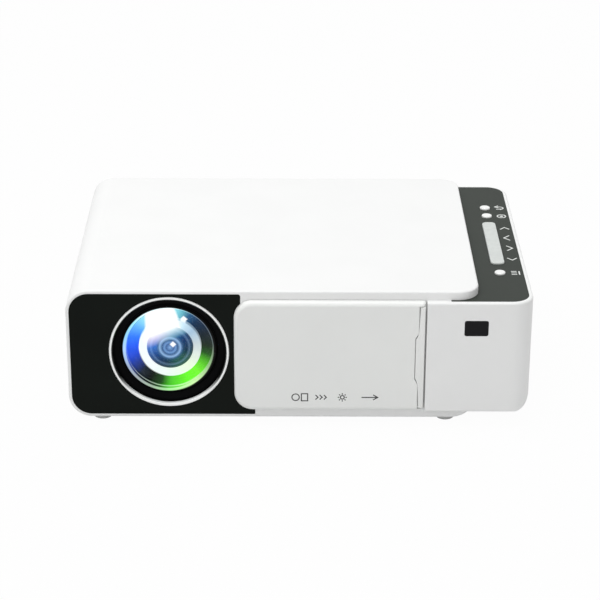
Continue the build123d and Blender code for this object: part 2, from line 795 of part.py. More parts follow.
# Carriage behind the front panel: its neck passes the slot and it runs on two rods
rod_y = block_front + rod_depth
carriage_front = block_front + 2.6
carriage_back = rod_y + 3.8
rod_heights = [rail_height - rod_spacing / 2, rail_height + rod_spacing / 2]
magnet_x = (carriage_left + carriage_right) / 2
with BuildPart() as cover_carriage:
    block(
        (carriage_left, carriage_right),
        (cover_back, carriage_front + 1),
        (rail_height - neck_height / 2, rail_height + neck_height / 2),
    )
    block(
        (carriage_left, carriage_right),
        (carriage_front, carriage_back),
        (rail_height - rod_spacing / 2 - 4, rail_height + rod_spacing / 2 + 4),
    )
    bore_places = [(rod_y, height) for height in rod_heights]
    round_bar(
        facing_right(carriage_left - 1),
        bore_places,
        rod_radius + running_gap,
        carriage_width + 2,
        mode=Mode.SUBTRACT,
    )
    round_bar(
        facing_front(carriage_back + 1),
        [(magnet_x, rail_height)],
        magnet_radius + running_gap,
        magnet_depth + 1,
        mode=Mode.SUBTRACT,
    )
cover_carriage.part.label = "cover_carriage"
export_step(cover_carriage.part, "parts/cover_carriage.step")

with BuildPart() as cover_magnet:
    round_bar(facing_front(carriage_back), [(magnet_x, rail_height)], magnet_radius, magnet_depth)
cover_magnet.part.label = "cover_magnet"
export_step(cover_magnet.part, "parts/cover_magnet.step")

# Rail frame behind the front panel: two ends that hold the rods, joined by a back plate
frame_right = carriage_right + rail_end + rail_stop
frame_front = block_front + panel_thickness + running_gap
frame_back = carriage_back + 2.8
frame_heights = (rail_height - rod_spacing / 2 - 6, rail_height + rod_spacing / 2 + 6)
with BuildPart() as rail_frame:
    block((frame_left, frame_right), (carriage_back + 0.8, frame_back), frame_heights)
    block((frame_left, frame_left + rail_end), (frame_front, frame_back), frame_heights)
    block((frame_right - rail_end, frame_right), (frame_front, frame_back), frame_heights)
    round_bar(
        facing_right(frame_left + 1.0),
        bore_places,
        rod_radius + 0.02,
        frame_right - frame_left - 2,
        mode=Mode.SUBTRACT,
    )
rail_frame.part.label = "rail_frame"
export_step(rail_frame.part, "parts/rail_frame.step")

with BuildPart() as guide_rods:
    round_bar(facing_right(frame_left + 1.0), bore_places, rod_radius, frame_right - frame_left - 2.05)
guide_rods.part.label = "guide_rods"
export_step(guide_rods.part, "parts/guide_rods.step")

# Hall sensor board that feels the cover's magnet when the lens is uncovered
with BuildPart() as hall_sensor:
    block((magnet_x - 6, magnet_x + 6), (frame_back, frame_back + 1.2), (rail_height - 5, rail_height + 5))
    block(
        (magnet_x - 2, magnet_x + 2),
        (frame_back + 1.2, frame_back + 2.8),
        (rail_height - 1.6, rail_height + 1.6),
    )
hall_sensor.part.label = "hall_sensor"
export_step(hall_sensor.part, "parts/hall_sensor.step")

# Lens: trim ring, turning focus ring, sliding keyed barrel and the fixed housing round them
lens_axis = (0, 1, 0)
lens_origin = (lens_x, 0, lens_z)
trim_back = block_front + 3.4
collar_front = trim_back + moving_gap
collar_back = collar_front + 2.6
sleeve_back = collar_back + 17.5
sleeve_radius = ring_radius - 0.75
sleeve_bore = barrel_radius + moving_gap
barrel_front = block_front + barrel_set_back
barrel_back = barrel_front + barrel_length
lens_seat = barrel_front + 3.8
rear_seat = barrel_back - rear_seat_depth
pin_y = collar_back + 8.5

with BuildPart() as trim_ring:
    trim_inner = trim_radius - trim_face
    turned(
        lens_origin,
        lens_axis,
        [
            (trim_inner, block_front + 0.3),
            (trim_inner + 0.3, block_front),
            (trim_radius - 0.3, block_front),
            (trim_radius, block_front + 0.3),
            (trim_radius, block_front + panel_thickness + running_gap),
            (housing_radius, block_front + panel_thickness + running_gap),
            (housing_radius, trim_back),
            (trim_inner, trim_back),
        ],
    )
trim_ring.part.label = "trim_ring"
export_step(trim_ring.part, "parts/trim_ring.step")

# Cutter for one helical cam slot, round the Z axis, later laid along the lens axis
slot_width = 2 * pin_radius + 0.5
slot_radius = (sleeve_radius + sleeve_bore) / 2
slot_margin = degrees(asin(slot_width / 2 / slot_radius))
slot_angle = 2 * focus_turn + 2 * slot_margin
slot_height = focus_lead * slot_angle / 360
with BuildPart() as cam_cutter:
    with BuildLine() as cam_path:
        Helix(focus_lead, slot_height, slot_radius, center=(0, 0, -slot_height / 2), lefthand=True)
    with BuildSketch(Plane(cam_path.line @ 0, x_dir=(1, 0, 0), z_dir=cam_path.line % 0)):
        Rectangle(sleeve_radius - sleeve_bore + 4, slot_width)
    sweep(path=cam_path.line, is_frenet=True)

cam_plane = Plane((lens_x, pin_y, lens_z), x_dir=(1, 0, 0), z_dir=(0, 1, 0))
pin_angles = [-90 + index * 360 / pin_count for index in range(pin_count)]


def pin_plane(angle, distance):
    """A plane that faces outwards from the lens axis at a cam pin, with X along the lens axis."""
    outward = Vector(cos(radians(angle)), 0, -sin(radians(angle)))
    return Plane(Vector(lens_x, pin_y, lens_z) + outward * distance, x_dir=(0, 1, 0), z_dir=outward)


ring_front = block_front + 2.6
with BuildPart() as focus_ring:
    turned(
        lens_origin,
        lens_axis,
        [
            (sleeve_bore, ring_front + 1.2),
            (ring_radius - 0.9, ring_front),
            (ring_radius, ring_front),
            (ring_radius, collar_front),
            (collar_radius, collar_front),
            (collar_radius, collar_back),
            (sleeve_radius, collar_back),
            (sleeve_radius, sleeve_back),
            (sleeve_bore, sleeve_back),
        ],
    )
    for angle in pin_angles:
        add(
            cam_cutter.part.moved(cam_plane.location * Rotation(0, 0, angle + slot_angle / 2)),
            mode=Mode.SUBTRACT,
        )
focus_ring.part.label = "focus_ring"
export_step(focus_ring.part, "parts/focus_ring.step")

barrel_room = barrel_radius + moving_gap
with BuildPart() as lens_housing:
    turned(
        lens_origin,
        lens_axis,
        [
            (0, trim_back + fixed_gap),
            (housing_radius, trim_back + fixed_gap),
            (housing_radius, chamber_front),
            (0, chamber_front),
        ],
    )
    for side in (-1, 1):
        leg = sorted((lens_x + side * 8, lens_x + side * 17))
        block(leg, (collar_back, collar_back + 14), (floor_top + fixed_gap, lens_z - 18))
    turned(
        lens_origin,
        lens_axis,
        [
            (0, trim_back),
            (collar_radius + moving_gap, trim_back),
            (collar_radius + moving_gap, collar_back + moving_gap),
            (sleeve_radius + moving_gap, collar_back + moving_gap),
            (sleeve_radius + moving_gap, sleeve_back + moving_gap),
            (barrel_room, sleeve_back + moving_gap),
            (barrel_room, chamber_front + 1),
            (0, chamber_front + 1),
        ],
        mode=Mode.SUBTRACT,
    )
    for angle in pin_angles:
        with BuildSketch(pin_plane(angle, sleeve_radius)):
            SlotOverall(2 * focus_slide + slot_width, slot_width)
        extrude(amount=6, mode=Mode.SUBTRACT)
lens_housing.part.label = "lens_housing"
export_step(lens_housing.part, "parts/lens_housing.step")

barrel_bore = front_lens_radius - 0.9
with BuildPart() as lens_barrel:
    turned(
        lens_origin,
        lens_axis,
        [
            (barrel_radius - 0.6, barrel_front),
            (barrel_radius, barrel_front + 0.6),
            (barrel_radius, barrel_back),
            (rear_lens_radius + running_gap, barrel_back),
            (rear_lens_radius + running_gap, rear_seat),
            (rear_lens_radius - 1.2, rear_seat),
            (rear_lens_radius - 1.2, rear_seat - rear_stop_width),
            (barrel_bore, rear_seat - rear_stop_width),
            (barrel_bore, lens_seat),
            (front_lens_radius + running_gap, lens_seat),
            (front_lens_radius + running_gap, barrel_front),
        ],
    )
    for angle in pin_angles:
        round_bar(pin_plane(angle, barrel_bore - 2), [(0, 0)], pin_radius, barrel_radius, mode=Mode.SUBTRACT)
lens_barrel.part.label = "lens_barrel"
export_step(lens_barrel.part, "parts/lens_barrel.step")

with BuildPart() as cam_pins:
    for angle in pin_angles:
        round_bar(
            pin_plane(angle, barrel_bore + 0.4), [(0, 0)], pin_radius, housing_radius - barrel_bore - 1.6
        )
cam_pins.part.label = "cam_pins"
export_step(cam_pins.part, "parts/cam_pins.step")


def lens_shape(centre, direction, radius, edge_start, edge_end, start_sag, end_sag):
    """A round lens between two sphere faces inside a flat land, or flat where the sag is zero."""
    clear = radius - lens_land

    def halfway(sag):
        sphere = (clear**2 + sag**2) / (2 * sag)
        return sag - sphere + sqrt(sphere**2 - clear**2 / 4)

    along = Vector(*direction)
    plane = Plane(centre, x_dir=(0, 0, 1), z_dir=Vector(0, 0, 1).cross(along))
    with BuildSketch(plane) as section:
        with BuildLine():
            Polyline((clear, edge_start), (radius, edge_start), (radius, edge_end), (clear, edge_end))
            if end_sag:
                ThreePointArc(
                    (clear, edge_end), (clear / 2, edge_end + halfway(end_sag)), (0, edge_end + end_sag)
                )
            else:
                Line((clear, edge_end), (0, edge_end))
            Line((0, edge_end + end_sag), (0, edge_start - start_sag))
            if start_sag:
                ThreePointArc(
                    (0, edge_start - start_sag),
                    (clear / 2, edge_start - halfway(start_sag)),
                    (clear, edge_start),
                )
            else:
                Line((0, edge_start), (clear, edge_start))
        make_face()
    revolve(section.sketch, axis=Axis(centre, direction))


with BuildPart() as front_lens:
    lens_shape(lens_origin, lens_axis, front_lens_radius, lens_seat - 2.0, lens_seat, 1.7, 1.6)
front_lens.part.label = "front_lens"
export_step(front_lens.part, "parts/front_lens.step")

with BuildPart() as lens_retainer:
    turned(
        lens_origin,
        lens_axis,
        [
            (front_lens_radius - 0.8, lens_seat - 2.0),
            (front_lens_radius - 0.8, lens_seat - 2.6),
            (front_lens_radius - 0.2, barrel_front + 0.4),
            (front_lens_radius, barrel_front + 0.4),
            (front_lens_radius, lens_seat - 2.0),
        ],
    )
lens_retainer.part.label = "lens_retainer"
export_step(lens_retainer.part, "parts/lens_retainer.step")

cell_back = lens_seat + 10.8
with BuildPart() as lens_cell:
    turned(
        lens_origin,
        lens_axis,
        [
            (cell_opening, cell_back),
            (cell_opening, cell_back - 7.0),
            (cell_opening + 0.6, cell_back - 7.4),
            (cell_rim - 0.7, cell_back - 7.4),
            (cell_rim, cell_back - 6.8),
            (cell_rim, cell_back - 3.4),
            (barrel_bore - running_gap, cell_back - 3.4),
            (barrel_bore - running_gap, cell_back),
        ],
    )
lens_cell.part.label = "lens_cell"
export_step(lens_cell.part, "parts/lens_cell.step")

with BuildPart() as inner_lens:
    lens_shape(lens_origin, lens_axis, inner_lens_radius, cell_back, cell_back + 2.0, 3.2, 2.4)
    with BuildSketch(facing_front(cell_back)):
        with Locations((lens_x, lens_z)):
            Circle(inner_lens_radius + 2.0)
            Circle(cell_opening - port_gap, mode=Mode.SUBTRACT)
    extrude(amount=8, mode=Mode.SUBTRACT)
inner_lens.part.label = "inner_lens"
export_step(inner_lens.part, "parts/inner_lens.step")

with BuildPart() as rear_lens:
    lens_shape(
        lens_origin, lens_axis, rear_lens_radius, rear_seat, rear_seat + rear_seat_depth / 2, 1.5, 1.9
    )
rear_lens.part.label = "rear_lens"
export_step(rear_lens.part, "parts/rear_lens.step")

# Fold chamber behind the lens: a closed box with a mirror on its slanted wall
outer_set_back = (mirror_thickness + chamber_wall) * sqrt(2)
inner_set_back = (mirror_thickness + 0.02) * sqrt(2)


def chamber_outline(inset, set_back):
    """Plan of the fold chamber, inset by a wall, with the slanted wall set back from the mirror's face."""
    low_x, high_x = chamber_left + inset, chamber_right - inset
    low_y, high_y = chamber_front + inset, fold_back - inset
    slant_x = lens_x + high_y - fold_y - set_back
    slant_y = fold_y + low_x - lens_x + set_back
    return [(low_x, low_y), (high_x, low_y), (high_x, high_y), (slant_x, high_y), (low_x, slant_y)]


with BuildPart() as fold_chamber:
    with BuildSketch(level(floor_top + fixed_gap)):
        with BuildLine():
            Polyline(*chamber_outline(0, outer_set_back), close=True)
        make_face()
    extrude(amount=chamber_top - floor_top - fixed_gap)
    with BuildSketch(level(floor_top + fixed_gap + chamber_wall)):
        with BuildLine():
            Polyline(*chamber_outline(chamber_wall, inner_set_back), close=True)
        make_face()
    extrude(amount=chamber_top - floor_top - fixed_gap - 2 * chamber_wall, mode=Mode.SUBTRACT)
    round_bar(facing_front(chamber_front + 3), [(lens_x, lens_z)], barrel_room, 4, mode=Mode.SUBTRACT)
    with BuildSketch(facing_right(chamber_right - 3)):
        with Locations((fold_y, lens_z)):
            Rectangle(image_width, image_height)
    extrude(amount=4, mode=Mode.SUBTRACT)
fold_chamber.part.label = "fold_chamber"
export_step(fold_chamber.part, "parts/fold_chamber.step")

with BuildPart() as fold_mirror:
    with BuildSketch(Plane((lens_x, fold_y, lens_z), x_dir=(1, 1, 0), z_dir=(-1, 1, 0))):
        Rectangle(mirror_length, 2 * (chamber_top - chamber_wall - mirror_margin - lens_z))
    extrude(amount=mirror_thickness)
fold_mirror.part.label = "fold_mirror"
export_step(fold_mirror.part, "parts/fold_mirror.step")

# Picture panel, field lens, light funnel, condenser, lamp and heat sink in a row
panel_height = image_height + 2 * image_border
panel_y = (fold_y - chamber_half, fold_y + chamber_half)
panel_z = (lens_z - panel_height / 2, lens_z + panel_height / 2)
with BuildPart() as lcd_panel:
    block((lcd_x, lcd_x + lcd_thickness), panel_y, panel_z)
lcd_panel.part.label = "lcd_panel"
export_step(lcd_panel.part, "parts/lcd_panel.step")

with BuildPart() as fresnel_lens:
    block((fresnel_x, fresnel_x + fresnel_thickness), panel_y, panel_z)
fresnel_lens.part.label = "fresnel_lens"
export_step(fresnel_lens.part, "parts/fresnel_lens.step")

funnel_wide = funnel_x + flange
funnel_narrow = holder_x - flange


def section(x, width, height):
    """A rectangle across the light path at x."""
    with BuildSketch(facing_right(x)) as across:
        with Locations((fold_y, lens_z)):
            Rectangle(width, height)
    return across.sketch


with BuildPart() as light_funnel:
    extrude(section(funnel_x, 2 * chamber_half + 2, panel_height + 2), amount=flange)
    extrude(section(funnel_narrow, holder_size, holder_size), amount=flange)
    outer_end = funnel_end + 2 * funnel_wall
    loft(
        [
            section(funnel_wide, image_width + 2 * funnel_wall, image_height + 2 * funnel_wall).face(),
            section(funnel_narrow, outer_end, outer_end).face(),
        ]
    )
    extrude(section(funnel_x - 1, image_width, image_height), amount=flange + 1, mode=Mode.SUBTRACT)
    extrude(section(funnel_narrow, funnel_end, funnel_end), amount=flange + 1, mode=Mode.SUBTRACT)
    loft(
        [
            section(funnel_wide, image_width, image_height).face(),
            section(funnel_narrow, funnel_end, funnel_end).face(),
        ],
        mode=Mode.SUBTRACT,
    )
light_funnel.part.label = "light_funnel"
export_step(light_funnel.part, "parts/light_funnel.step")

with BuildPart() as lamp_holder:
    extrude(section(holder_x, holder_size, holder_size), amount=holder_length)
    round_bar(
        facing_right(holder_x - 1), [(fold_y, lens_z)], condenser_radius + running_gap, holder_length + 2,
        mode=Mode.SUBTRACT,
    )
lamp_holder.part.label = "lamp_holder"
export_step(lamp_holder.part, "parts/lamp_holder.step")

lamp_axis = (1, 0, 0)
lamp_origin = (0, fold_y, lens_z)
with BuildPart() as condenser_lens:
    lens_shape(lamp_origin, lamp_axis, condenser_radius, holder_x + 5, holder_x + 6, 5.6, 0)
condenser_lens.part.label = "condenser_lens"
export_step(condenser_lens.part, "parts/condenser_lens.step")

with BuildPart() as led_chip:
    round_bar(facing_right(led_x - led_height), [(fold_y, lens_z)], led_radius, led_height)
led_chip.part.label = "led_chip"
export_step(led_chip.part, "parts/led_chip.step")

with BuildPart() as led_plate:
    extrude(section(led_x, holder_size - 4, holder_size - 4), amount=led_board)
led_plate.part.label = "led_plate"
export_step(led_plate.part, "parts/led_plate.step")

with BuildPart() as heat_sink:
    extrude(section(sink_x, sink_size, sink_size), amount=sink_base)
    with BuildSketch(facing_right(sink_x + sink_base)):
        with Locations((fold_y, lens_z)):
            with GridLocations((sink_size - fin_thickness) / (fin_count - 1), 1, fin_count, 1):
                Rectangle(fin_thickness, sink_size)
    extrude(amount=fin_length)
heat_sink.part.label = "heat_sink"
export_step(heat_sink.part, "parts/heat_sink.step")

# Fan against the exhaust grille: square frame with a motor seat on struts, and a bladed rotor
fan_centre = (0, fold_y, fan_z)
fan_back = fan_x + fan_depth
seat_thickness = 1.4
with BuildPart() as fan_frame:
    with BuildSketch(facing_right(fan_x)):
        with Locations((fold_y, fan_z)):
            RectangleRounded(fan_size, fan_size, 3.0)
            Circle(fan_bore, mode=Mode.SUBTRACT)
            with GridLocations(fan_hole_pitch, fan_hole_pitch, 2, 2):
                Circle(1.7, mode=Mode.SUBTRACT)
    extrude(amount=fan_depth)
    with BuildSketch(facing_right(fan_back - seat_thickness)):
        with Locations((fold_y, fan_z)):
            Circle(hub_radius + 0.5)
            Rectangle(2 * fan_bore + 1, 2.2, rotation=45)
            Rectangle(2 * fan_bore + 1, 2.2, rotation=-45)
    extrude(amount=seat_thickness)
    round_bar(facing_right(fan_x + 4), [(fold_y, fan_z)], 2.4, fan_depth - 4)
    round_bar(
        facing_right(fan_x + 3), [(fold_y, fan_z)], 1.0 + running_gap, fan_depth - 4, mode=Mode.SUBTRACT
    )
fan_frame.part.label = "fan_frame"
export_step(fan_frame.part, "parts/fan_frame.step")

with BuildPart() as blade:
    with BuildSketch(Plane((fan_x + 5.2, fold_y, fan_z + hub_radius - 0.7))) as blade_root:
        Rectangle(0.9, 8.0, rotation=-42)
    with BuildSketch(Plane((fan_x + 5.2, fold_y, fan_z + blade_tip - 0.4))) as blade_end:
        Rectangle(0.8, 9.4, rotation=-58)
    loft()

with BuildPart() as fan_rotor:
    turned(
        fan_centre,
        lamp_axis,
        [
            (0, fan_x + 0.8),
            (hub_radius - 0.8, fan_x + 0.8),
            (hub_radius, fan_x + 1.6),
            (hub_radius, fan_back - seat_thickness - 0.6),
            (hub_radius - 1.2, fan_back - seat_thickness - 0.6),
            (hub_radius - 1.2, fan_x + 2.4),
            (1.0, fan_x + 2.4),
            (1.0, fan_back - seat_thickness),
            (0, fan_back - seat_thickness),
        ],
    )
    for index in range(blade_count):
        add(blade.part.rotate(Axis(fan_centre, lamp_axis), index * 360 / blade_count))
fan_rotor.part.label = "fan_rotor"
export_step(fan_rotor.part, "parts/fan_rotor.step")

# Main board on the base's standoffs, with its parts and the sockets that reach the port panel
with BuildPart() as main_board:
    block(
        (main_board_left, main_board_right),
        (main_board_front, main_board_rear),
        (main_board_z, main_board_top),
    )
main_board.part.label = "main_board"
export_step(main_board.part, "parts/main_board.step")

ribbon_x = lcd_x + lcd_thickness / 2
ribbon_top = main_board_top + 4.7
ribbon_y = main_board_front + 3.0
ribbon_width = 11.0
with BuildPart() as board_parts:
    # Processor heat spreader, memory, power chip, two capacitors, a coil and the picture panel's connector
    chip_y = main_board_front + 1.0 + chip_size / 2
    chips = (
        (hdmi_x - 4, 1.5, 6.0), (usb_x - 6, 1.0, 1.2), (phones_x - 8, 1.2, 1.6), (inlet_x + 11, 0.8, 6.0)
    )
    for chip_x, share, height in chips:
        reach = chip_size * share / 2
        block(
            (chip_x - reach, chip_x + reach),
            (chip_y - chip_size / 2, chip_y + chip_size / 2),
            (main_board_top, main_board_top + height),
        )
    capacitors = [(inlet_x - 4 * capacitor_radius, chip_y), (inlet_x - capacitor_radius, chip_y)]
    round_bar(level(main_board_top), capacitors, capacitor_radius, 2.5 * capacitor_radius)
    block(
        (ribbon_x - 2.2, ribbon_x + 2.2),
        (ribbon_y - 1, ribbon_y + ribbon_width + 1),
        (main_board_top, ribbon_top),
    )
board_parts.part.label = "board_parts"
export_step(board_parts.part, "parts/board_parts.step")


def shell_socket(x, size, depth, shell, tongue, tongue_set_back):
    """A metal-shelled socket on the main board that opens to the rear, with a tongue inside."""
    width, height = size
    low = main_board_top
    start = socket_face - depth
    block((x - width / 2, x + width / 2), (start, socket_face), (low, low + height))
    block(
        (x - width / 2 + shell, x + width / 2 - shell),
        (start + 2, socket_face + 1),
        (low + shell, low + height - shell),
        mode=Mode.SUBTRACT,
    )
    middle = low + height / 2
    block(
        (x - width / 2 + shell + 1.2, x + width / 2 - shell - 1.2),
        (start, socket_face - tongue_set_back),
        (middle - tongue / 2, middle + tongue / 2),
    )


with BuildPart() as hdmi_socket:
    shell_socket(hdmi_x, hdmi_size, 12.0, 0.5, 1.0, 1.2)
hdmi_socket.part.label = "hdmi_socket"
export_step(hdmi_socket.part, "parts/hdmi_socket.step")

with BuildPart() as usb_socket:
    shell_socket(usb_x, usb_size, 14.0, 0.4, 1.8, 1.5)
usb_socket.part.label = "usb_socket"
export_step(usb_socket.part, "parts/usb_socket.step")

for name, place in (("av_jack", av_x), ("headphone_jack", phones_x)):
    with BuildPart() as jack:
        block(
            (place - jack_size[0] / 2, place + jack_size[0] / 2),
            (socket_back, rear_panel_back - fixed_gap),
            (main_board_top, main_board_top + jack_size[1]),
        )
        round_bar(facing_front(socket_face), [(place, jack_z)], jack_nose, 5.0)
        round_bar(
            facing_front(socket_face + 1), [(place, jack_z)], jack_radius, jack_depth + 1, mode=Mode.SUBTRACT
        )
    jack.part.label = name
    export_step(jack.part, f"parts/{name}.step")

with BuildPart() as dc_inlet:
    block(
        (inlet_x - inlet_size[0] / 2, inlet_x + inlet_size[0] / 2),
        (socket_back, rear_panel_back - fixed_gap),
        (main_board_top, main_board_top + inlet_size[1]),
    )
    round_bar(facing_front(socket_face), [(inlet_x, inlet_z)], inlet_nose, 5.0)
    round_bar(
        facing_front(socket_face + 1),
        [(inlet_x, inlet_z)],
        inlet_radius,
        inlet_depth + 1,
        mode=Mode.SUBTRACT,
    )
    round_bar(facing_front(socket_face - 1.2), [(inlet_x, inlet_z)], inlet_pin_radius, inlet_depth)
dc_inlet.part.label = "dc_inlet"
export_step(dc_inlet.part, "parts/dc_inlet.step")

# Lamp driver board with its coil and capacitors
driver_board_top = driver_board_z + board
with BuildPart() as driver_board:
    block((driver_left, driver_right), (driver_front, driver_back), (driver_board_z, driver_board_top))
driver_board.part.label = "driver_board"
export_step(driver_board.part, "parts/driver_board.step")

with BuildPart() as driver_parts:
    driver_middle = (driver_front + driver_back) / 2
    driver_centre = (driver_left + driver_right) / 2
    coils = [
        (driver_centre - 2 * coil_radius, driver_middle), (driver_centre + coil_radius / 2, driver_middle)
    ]
    round_bar(level(driver_board_top), coils, coil_radius, 1.5 * coil_radius)
    driver_chip = driver_centre - 3 * coil_radius - chip_size
    transformer = driver_centre + 3 * coil_radius
    for chip_x, share, height in ((driver_chip, 0.7, 2.0), (transformer, 1.0, 6.0)):
        reach = chip_size * share / 2
        block(
            (chip_x - reach, chip_x + reach),
            (driver_middle - reach, driver_middle + reach),
            (driver_board_top, driver_board_top + height),
        )
driver_parts.part.label = "driver_parts"
export_step(driver_parts.part, "parts/driver_parts.step")

# Speaker against the slots in the left wall
speaker_origin = (panel_left + fixed_gap, speaker_y, speaker_z)
with BuildPart() as speaker_frame:
    turned(
        speaker_origin,
        lamp_axis,
        [
            (0, 4.2),
            (4.0, 4.2),
            (speaker_radius - 2.4, 1.2),
            (speaker_radius - 2.4, 0),
            (speaker_radius, 0),
            (speaker_radius, 1.8),
            (7.0, 4.8),
            (7.0, speaker_depth),
            (0, speaker_depth),
        ],
    )
speaker_frame.part.label = "speaker_frame"
export_step(speaker_frame.part, "parts/speaker_frame.step")

with BuildPart() as speaker_cone:
    turned(
        speaker_origin,
        lamp_axis,
        [
            (0, 2.0),
            (3.4, 2.0),
            (4.2, 3.0),
            (speaker_radius - 4.6, 0.9),
            (speaker_radius - 2.5, 0.4),
            (speaker_radius - 2.5, 0.9),
            (speaker_radius - 4.4, 1.4),
            (4.0, 3.9),
            (0, 3.9),
        ],
    )
speaker_cone.part.label = "speaker_cone"
export_step(speaker_cone.part, "parts/speaker_cone.step")

# Flat cable from the picture panel down to the main board
ribbon_high = lens_z + 6.0
with BuildPart() as lcd_ribbon:
    with BuildSketch(facing_right(ribbon_x - 0.15)) as ribbon_outline:
        with BuildLine():
            Polyline(
                (fold_back, ribbon_high),
                (ribbon_y + ribbon_width, ribbon_high),
                (ribbon_y + ribbon_width, ribbon_top),
                (ribbon_y, ribbon_top),
                (ribbon_y, ribbon_high - ribbon_width),
                (fold_back, ribbon_high - ribbon_width),
                close=True,
            )
        make_face()
        fillet(corner_at(ribbon_outline, ribbon_y + ribbon_width, ribbon_high), 3.0)
    extrude(amount=0.3)
lcd_ribbon.part.label = "lcd_ribbon"
export_step(lcd_ribbon.part, "parts/lcd_ribbon.step")

# Rubber feet with pegs, the elevation foot and the tripod insert
with BuildPart() as rubber_feet:
    for place in foot_places:
        turned(
            (*place, 0),
            (0, 0, 1),
            [
                (0, 0),
                (foot_radius - 0.7, 0),
                (foot_radius, 0.7),
                (foot_radius, floor_z),
                (foot_peg, floor_z),
                (foot_peg, floor_top + 0.6),
                (0, floor_top + 0.6),
            ],
        )
rubber_feet.part.label = "rubber_feet"
export_step(rubber_feet.part, "parts/rubber_feet.step")

pad_low = 0.3
knob_low = pad_low + 1.5
knob_high = knob_low + 4.4
with BuildPart() as foot_pad:
    turned(
        (screw_x, screw_y, 0),
        (0, 0, 1),
        [
            (0, pad_low),
            (knob_radius - 1.2, pad_low),
            (knob_radius - 0.5, pad_low + 0.6),
            (knob_radius - 0.5, knob_low - fixed_gap),
            (1.5, knob_low - fixed_gap),
            (1.5, knob_low + 3.0),
            (0, knob_low + 3.0),
        ],
    )
foot_pad.part.label = "foot_pad"
export_step(foot_pad.part, "parts/foot_pad.step")

with BuildPart() as foot_screw:
    turned(
        (screw_x, screw_y, 0),
        (0, 0, 1),
        [
            (1.5 + running_gap, knob_low),
            (knob_radius, knob_low),
            (knob_radius, knob_high),
            (screw_radius, knob_high),
            (screw_radius, knob_high + 9.2),
            (screw_radius - 0.8, knob_high + 10.0),
            (0, knob_high + 10.0),
            (0, knob_low + 3.1),
            (1.5 + running_gap, knob_low + 3.1),
        ],
    )
    # Grip flutes round the knob
    with BuildSketch(level(knob_low - 1)):
        with Locations((screw_x, screw_y)):
            with PolarLocations(knob_radius + 0.5, 16):
                Circle(1.1)
    extrude(amount=knob_high - knob_low + 2, mode=Mode.SUBTRACT)
foot_screw.part.label = "foot_screw"
export_step(foot_screw.part, "parts/foot_screw.step")

with BuildPart() as tripod_insert:
    round_bar(level(floor_z), [(0, 0)], insert_radius, tripod_depth)
    round_bar(level(floor_z - 1), [(0, 0)], tripod_radius, tripod_depth + 2, mode=Mode.SUBTRACT)
tripod_insert.part.label = "tripod_insert"
export_step(tripod_insert.part, "parts/tripod_insert.step")

# Case screws: four long ones up into the top cover, two short ones into the end block
with BuildPart() as case_screws:
    round_bar(level(head_seat - head_height), post_places, head_radius, head_height)
    round_bar(level(head_seat - 0.5), post_places, case_screw_radius, case_screw_length + 0.5)
    round_bar(level(end_head_seat - head_height), end_screw_places, head_radius, head_height)
    round_bar(level(end_head_seat - 0.5), end_screw_places, case_screw_radius, end_screw_length)
case_screws.part.label = "case_screws"
export_step(case_screws.part, "parts/case_screws.step")
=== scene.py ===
import math

import bmesh
import bpy
from mathutils import Matrix, Vector


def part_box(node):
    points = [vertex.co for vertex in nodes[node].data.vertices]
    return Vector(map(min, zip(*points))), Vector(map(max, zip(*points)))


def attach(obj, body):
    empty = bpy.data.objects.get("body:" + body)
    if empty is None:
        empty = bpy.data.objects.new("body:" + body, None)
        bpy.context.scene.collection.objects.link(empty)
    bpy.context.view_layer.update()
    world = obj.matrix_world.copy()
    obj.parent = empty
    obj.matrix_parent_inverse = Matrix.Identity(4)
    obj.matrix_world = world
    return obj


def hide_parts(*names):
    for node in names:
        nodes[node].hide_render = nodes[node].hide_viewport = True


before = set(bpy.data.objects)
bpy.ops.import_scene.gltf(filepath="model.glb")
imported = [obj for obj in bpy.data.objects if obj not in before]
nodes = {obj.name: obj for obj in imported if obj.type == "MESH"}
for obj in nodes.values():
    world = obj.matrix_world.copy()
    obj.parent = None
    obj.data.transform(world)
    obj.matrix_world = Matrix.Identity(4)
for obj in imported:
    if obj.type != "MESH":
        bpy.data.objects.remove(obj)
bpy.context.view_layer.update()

mm = 0.001
print("frame loaded:", len(nodes), "nodes")

# Places that the pieces share, read from the frame
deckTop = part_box("control_panel")[1].z
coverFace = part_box("slide_cover")[0].y
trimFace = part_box("trim_ring")[0].y
lensLow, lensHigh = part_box("front_lens")
lensX = (lensLow.x + lensHigh.x) / 2
lensZ = (lensLow.z + lensHigh.z) / 2

black = (0.0, 0.0, 0.0)
white = (1.0, 1.0, 1.0)
noiseReach = (0.3, 0.7)  # where most values of a noise texture lie
sharpAngle = math.radians(32)
mitreLimit = 0.3


# Shader helpers
def feed(tree, node, inputs):
    for key, value in inputs.items():
        if isinstance(value, bpy.types.NodeSocket):
            tree.links.new(value, node.inputs[key])
        else:
            node.inputs[key].default_value = value


def addNode(tree, kind, inputs=None, **settings):
    node = tree.nodes.new(kind)
    for key, value in settings.items():
        setattr(node, key, value)
    feed(tree, node, inputs or {})
    return node


def newMaterial(name):
    material = bpy.data.materials.new(name)
    material.use_nodes = True
    tree = material.node_tree
    tree.nodes.clear()
    shader = addNode(tree, "ShaderNodeBsdfPrincipled")
    addNode(tree, "ShaderNodeOutputMaterial", {"Surface": shader.outputs["BSDF"]})
    return material, tree, shader


# Another shader takes the place of the material's own where the amount is 1
def mixSurface(tree, shader, amount, other):
    inputs = {0: amount, 1: shader.outputs["BSDF"], 2: other.outputs[0]}
    output = [node for node in tree.nodes if node.type == "OUTPUT_MATERIAL"][0]
    feed(tree, output, {"Surface": addNode(tree, "ShaderNodeMixShader", inputs).outputs[0]})


def maths(tree, operation, first, second=0.0):
    inputs = {0: first, 1: second}
    return addNode(tree, "ShaderNodeMath", inputs, operation=operation).outputs[0]


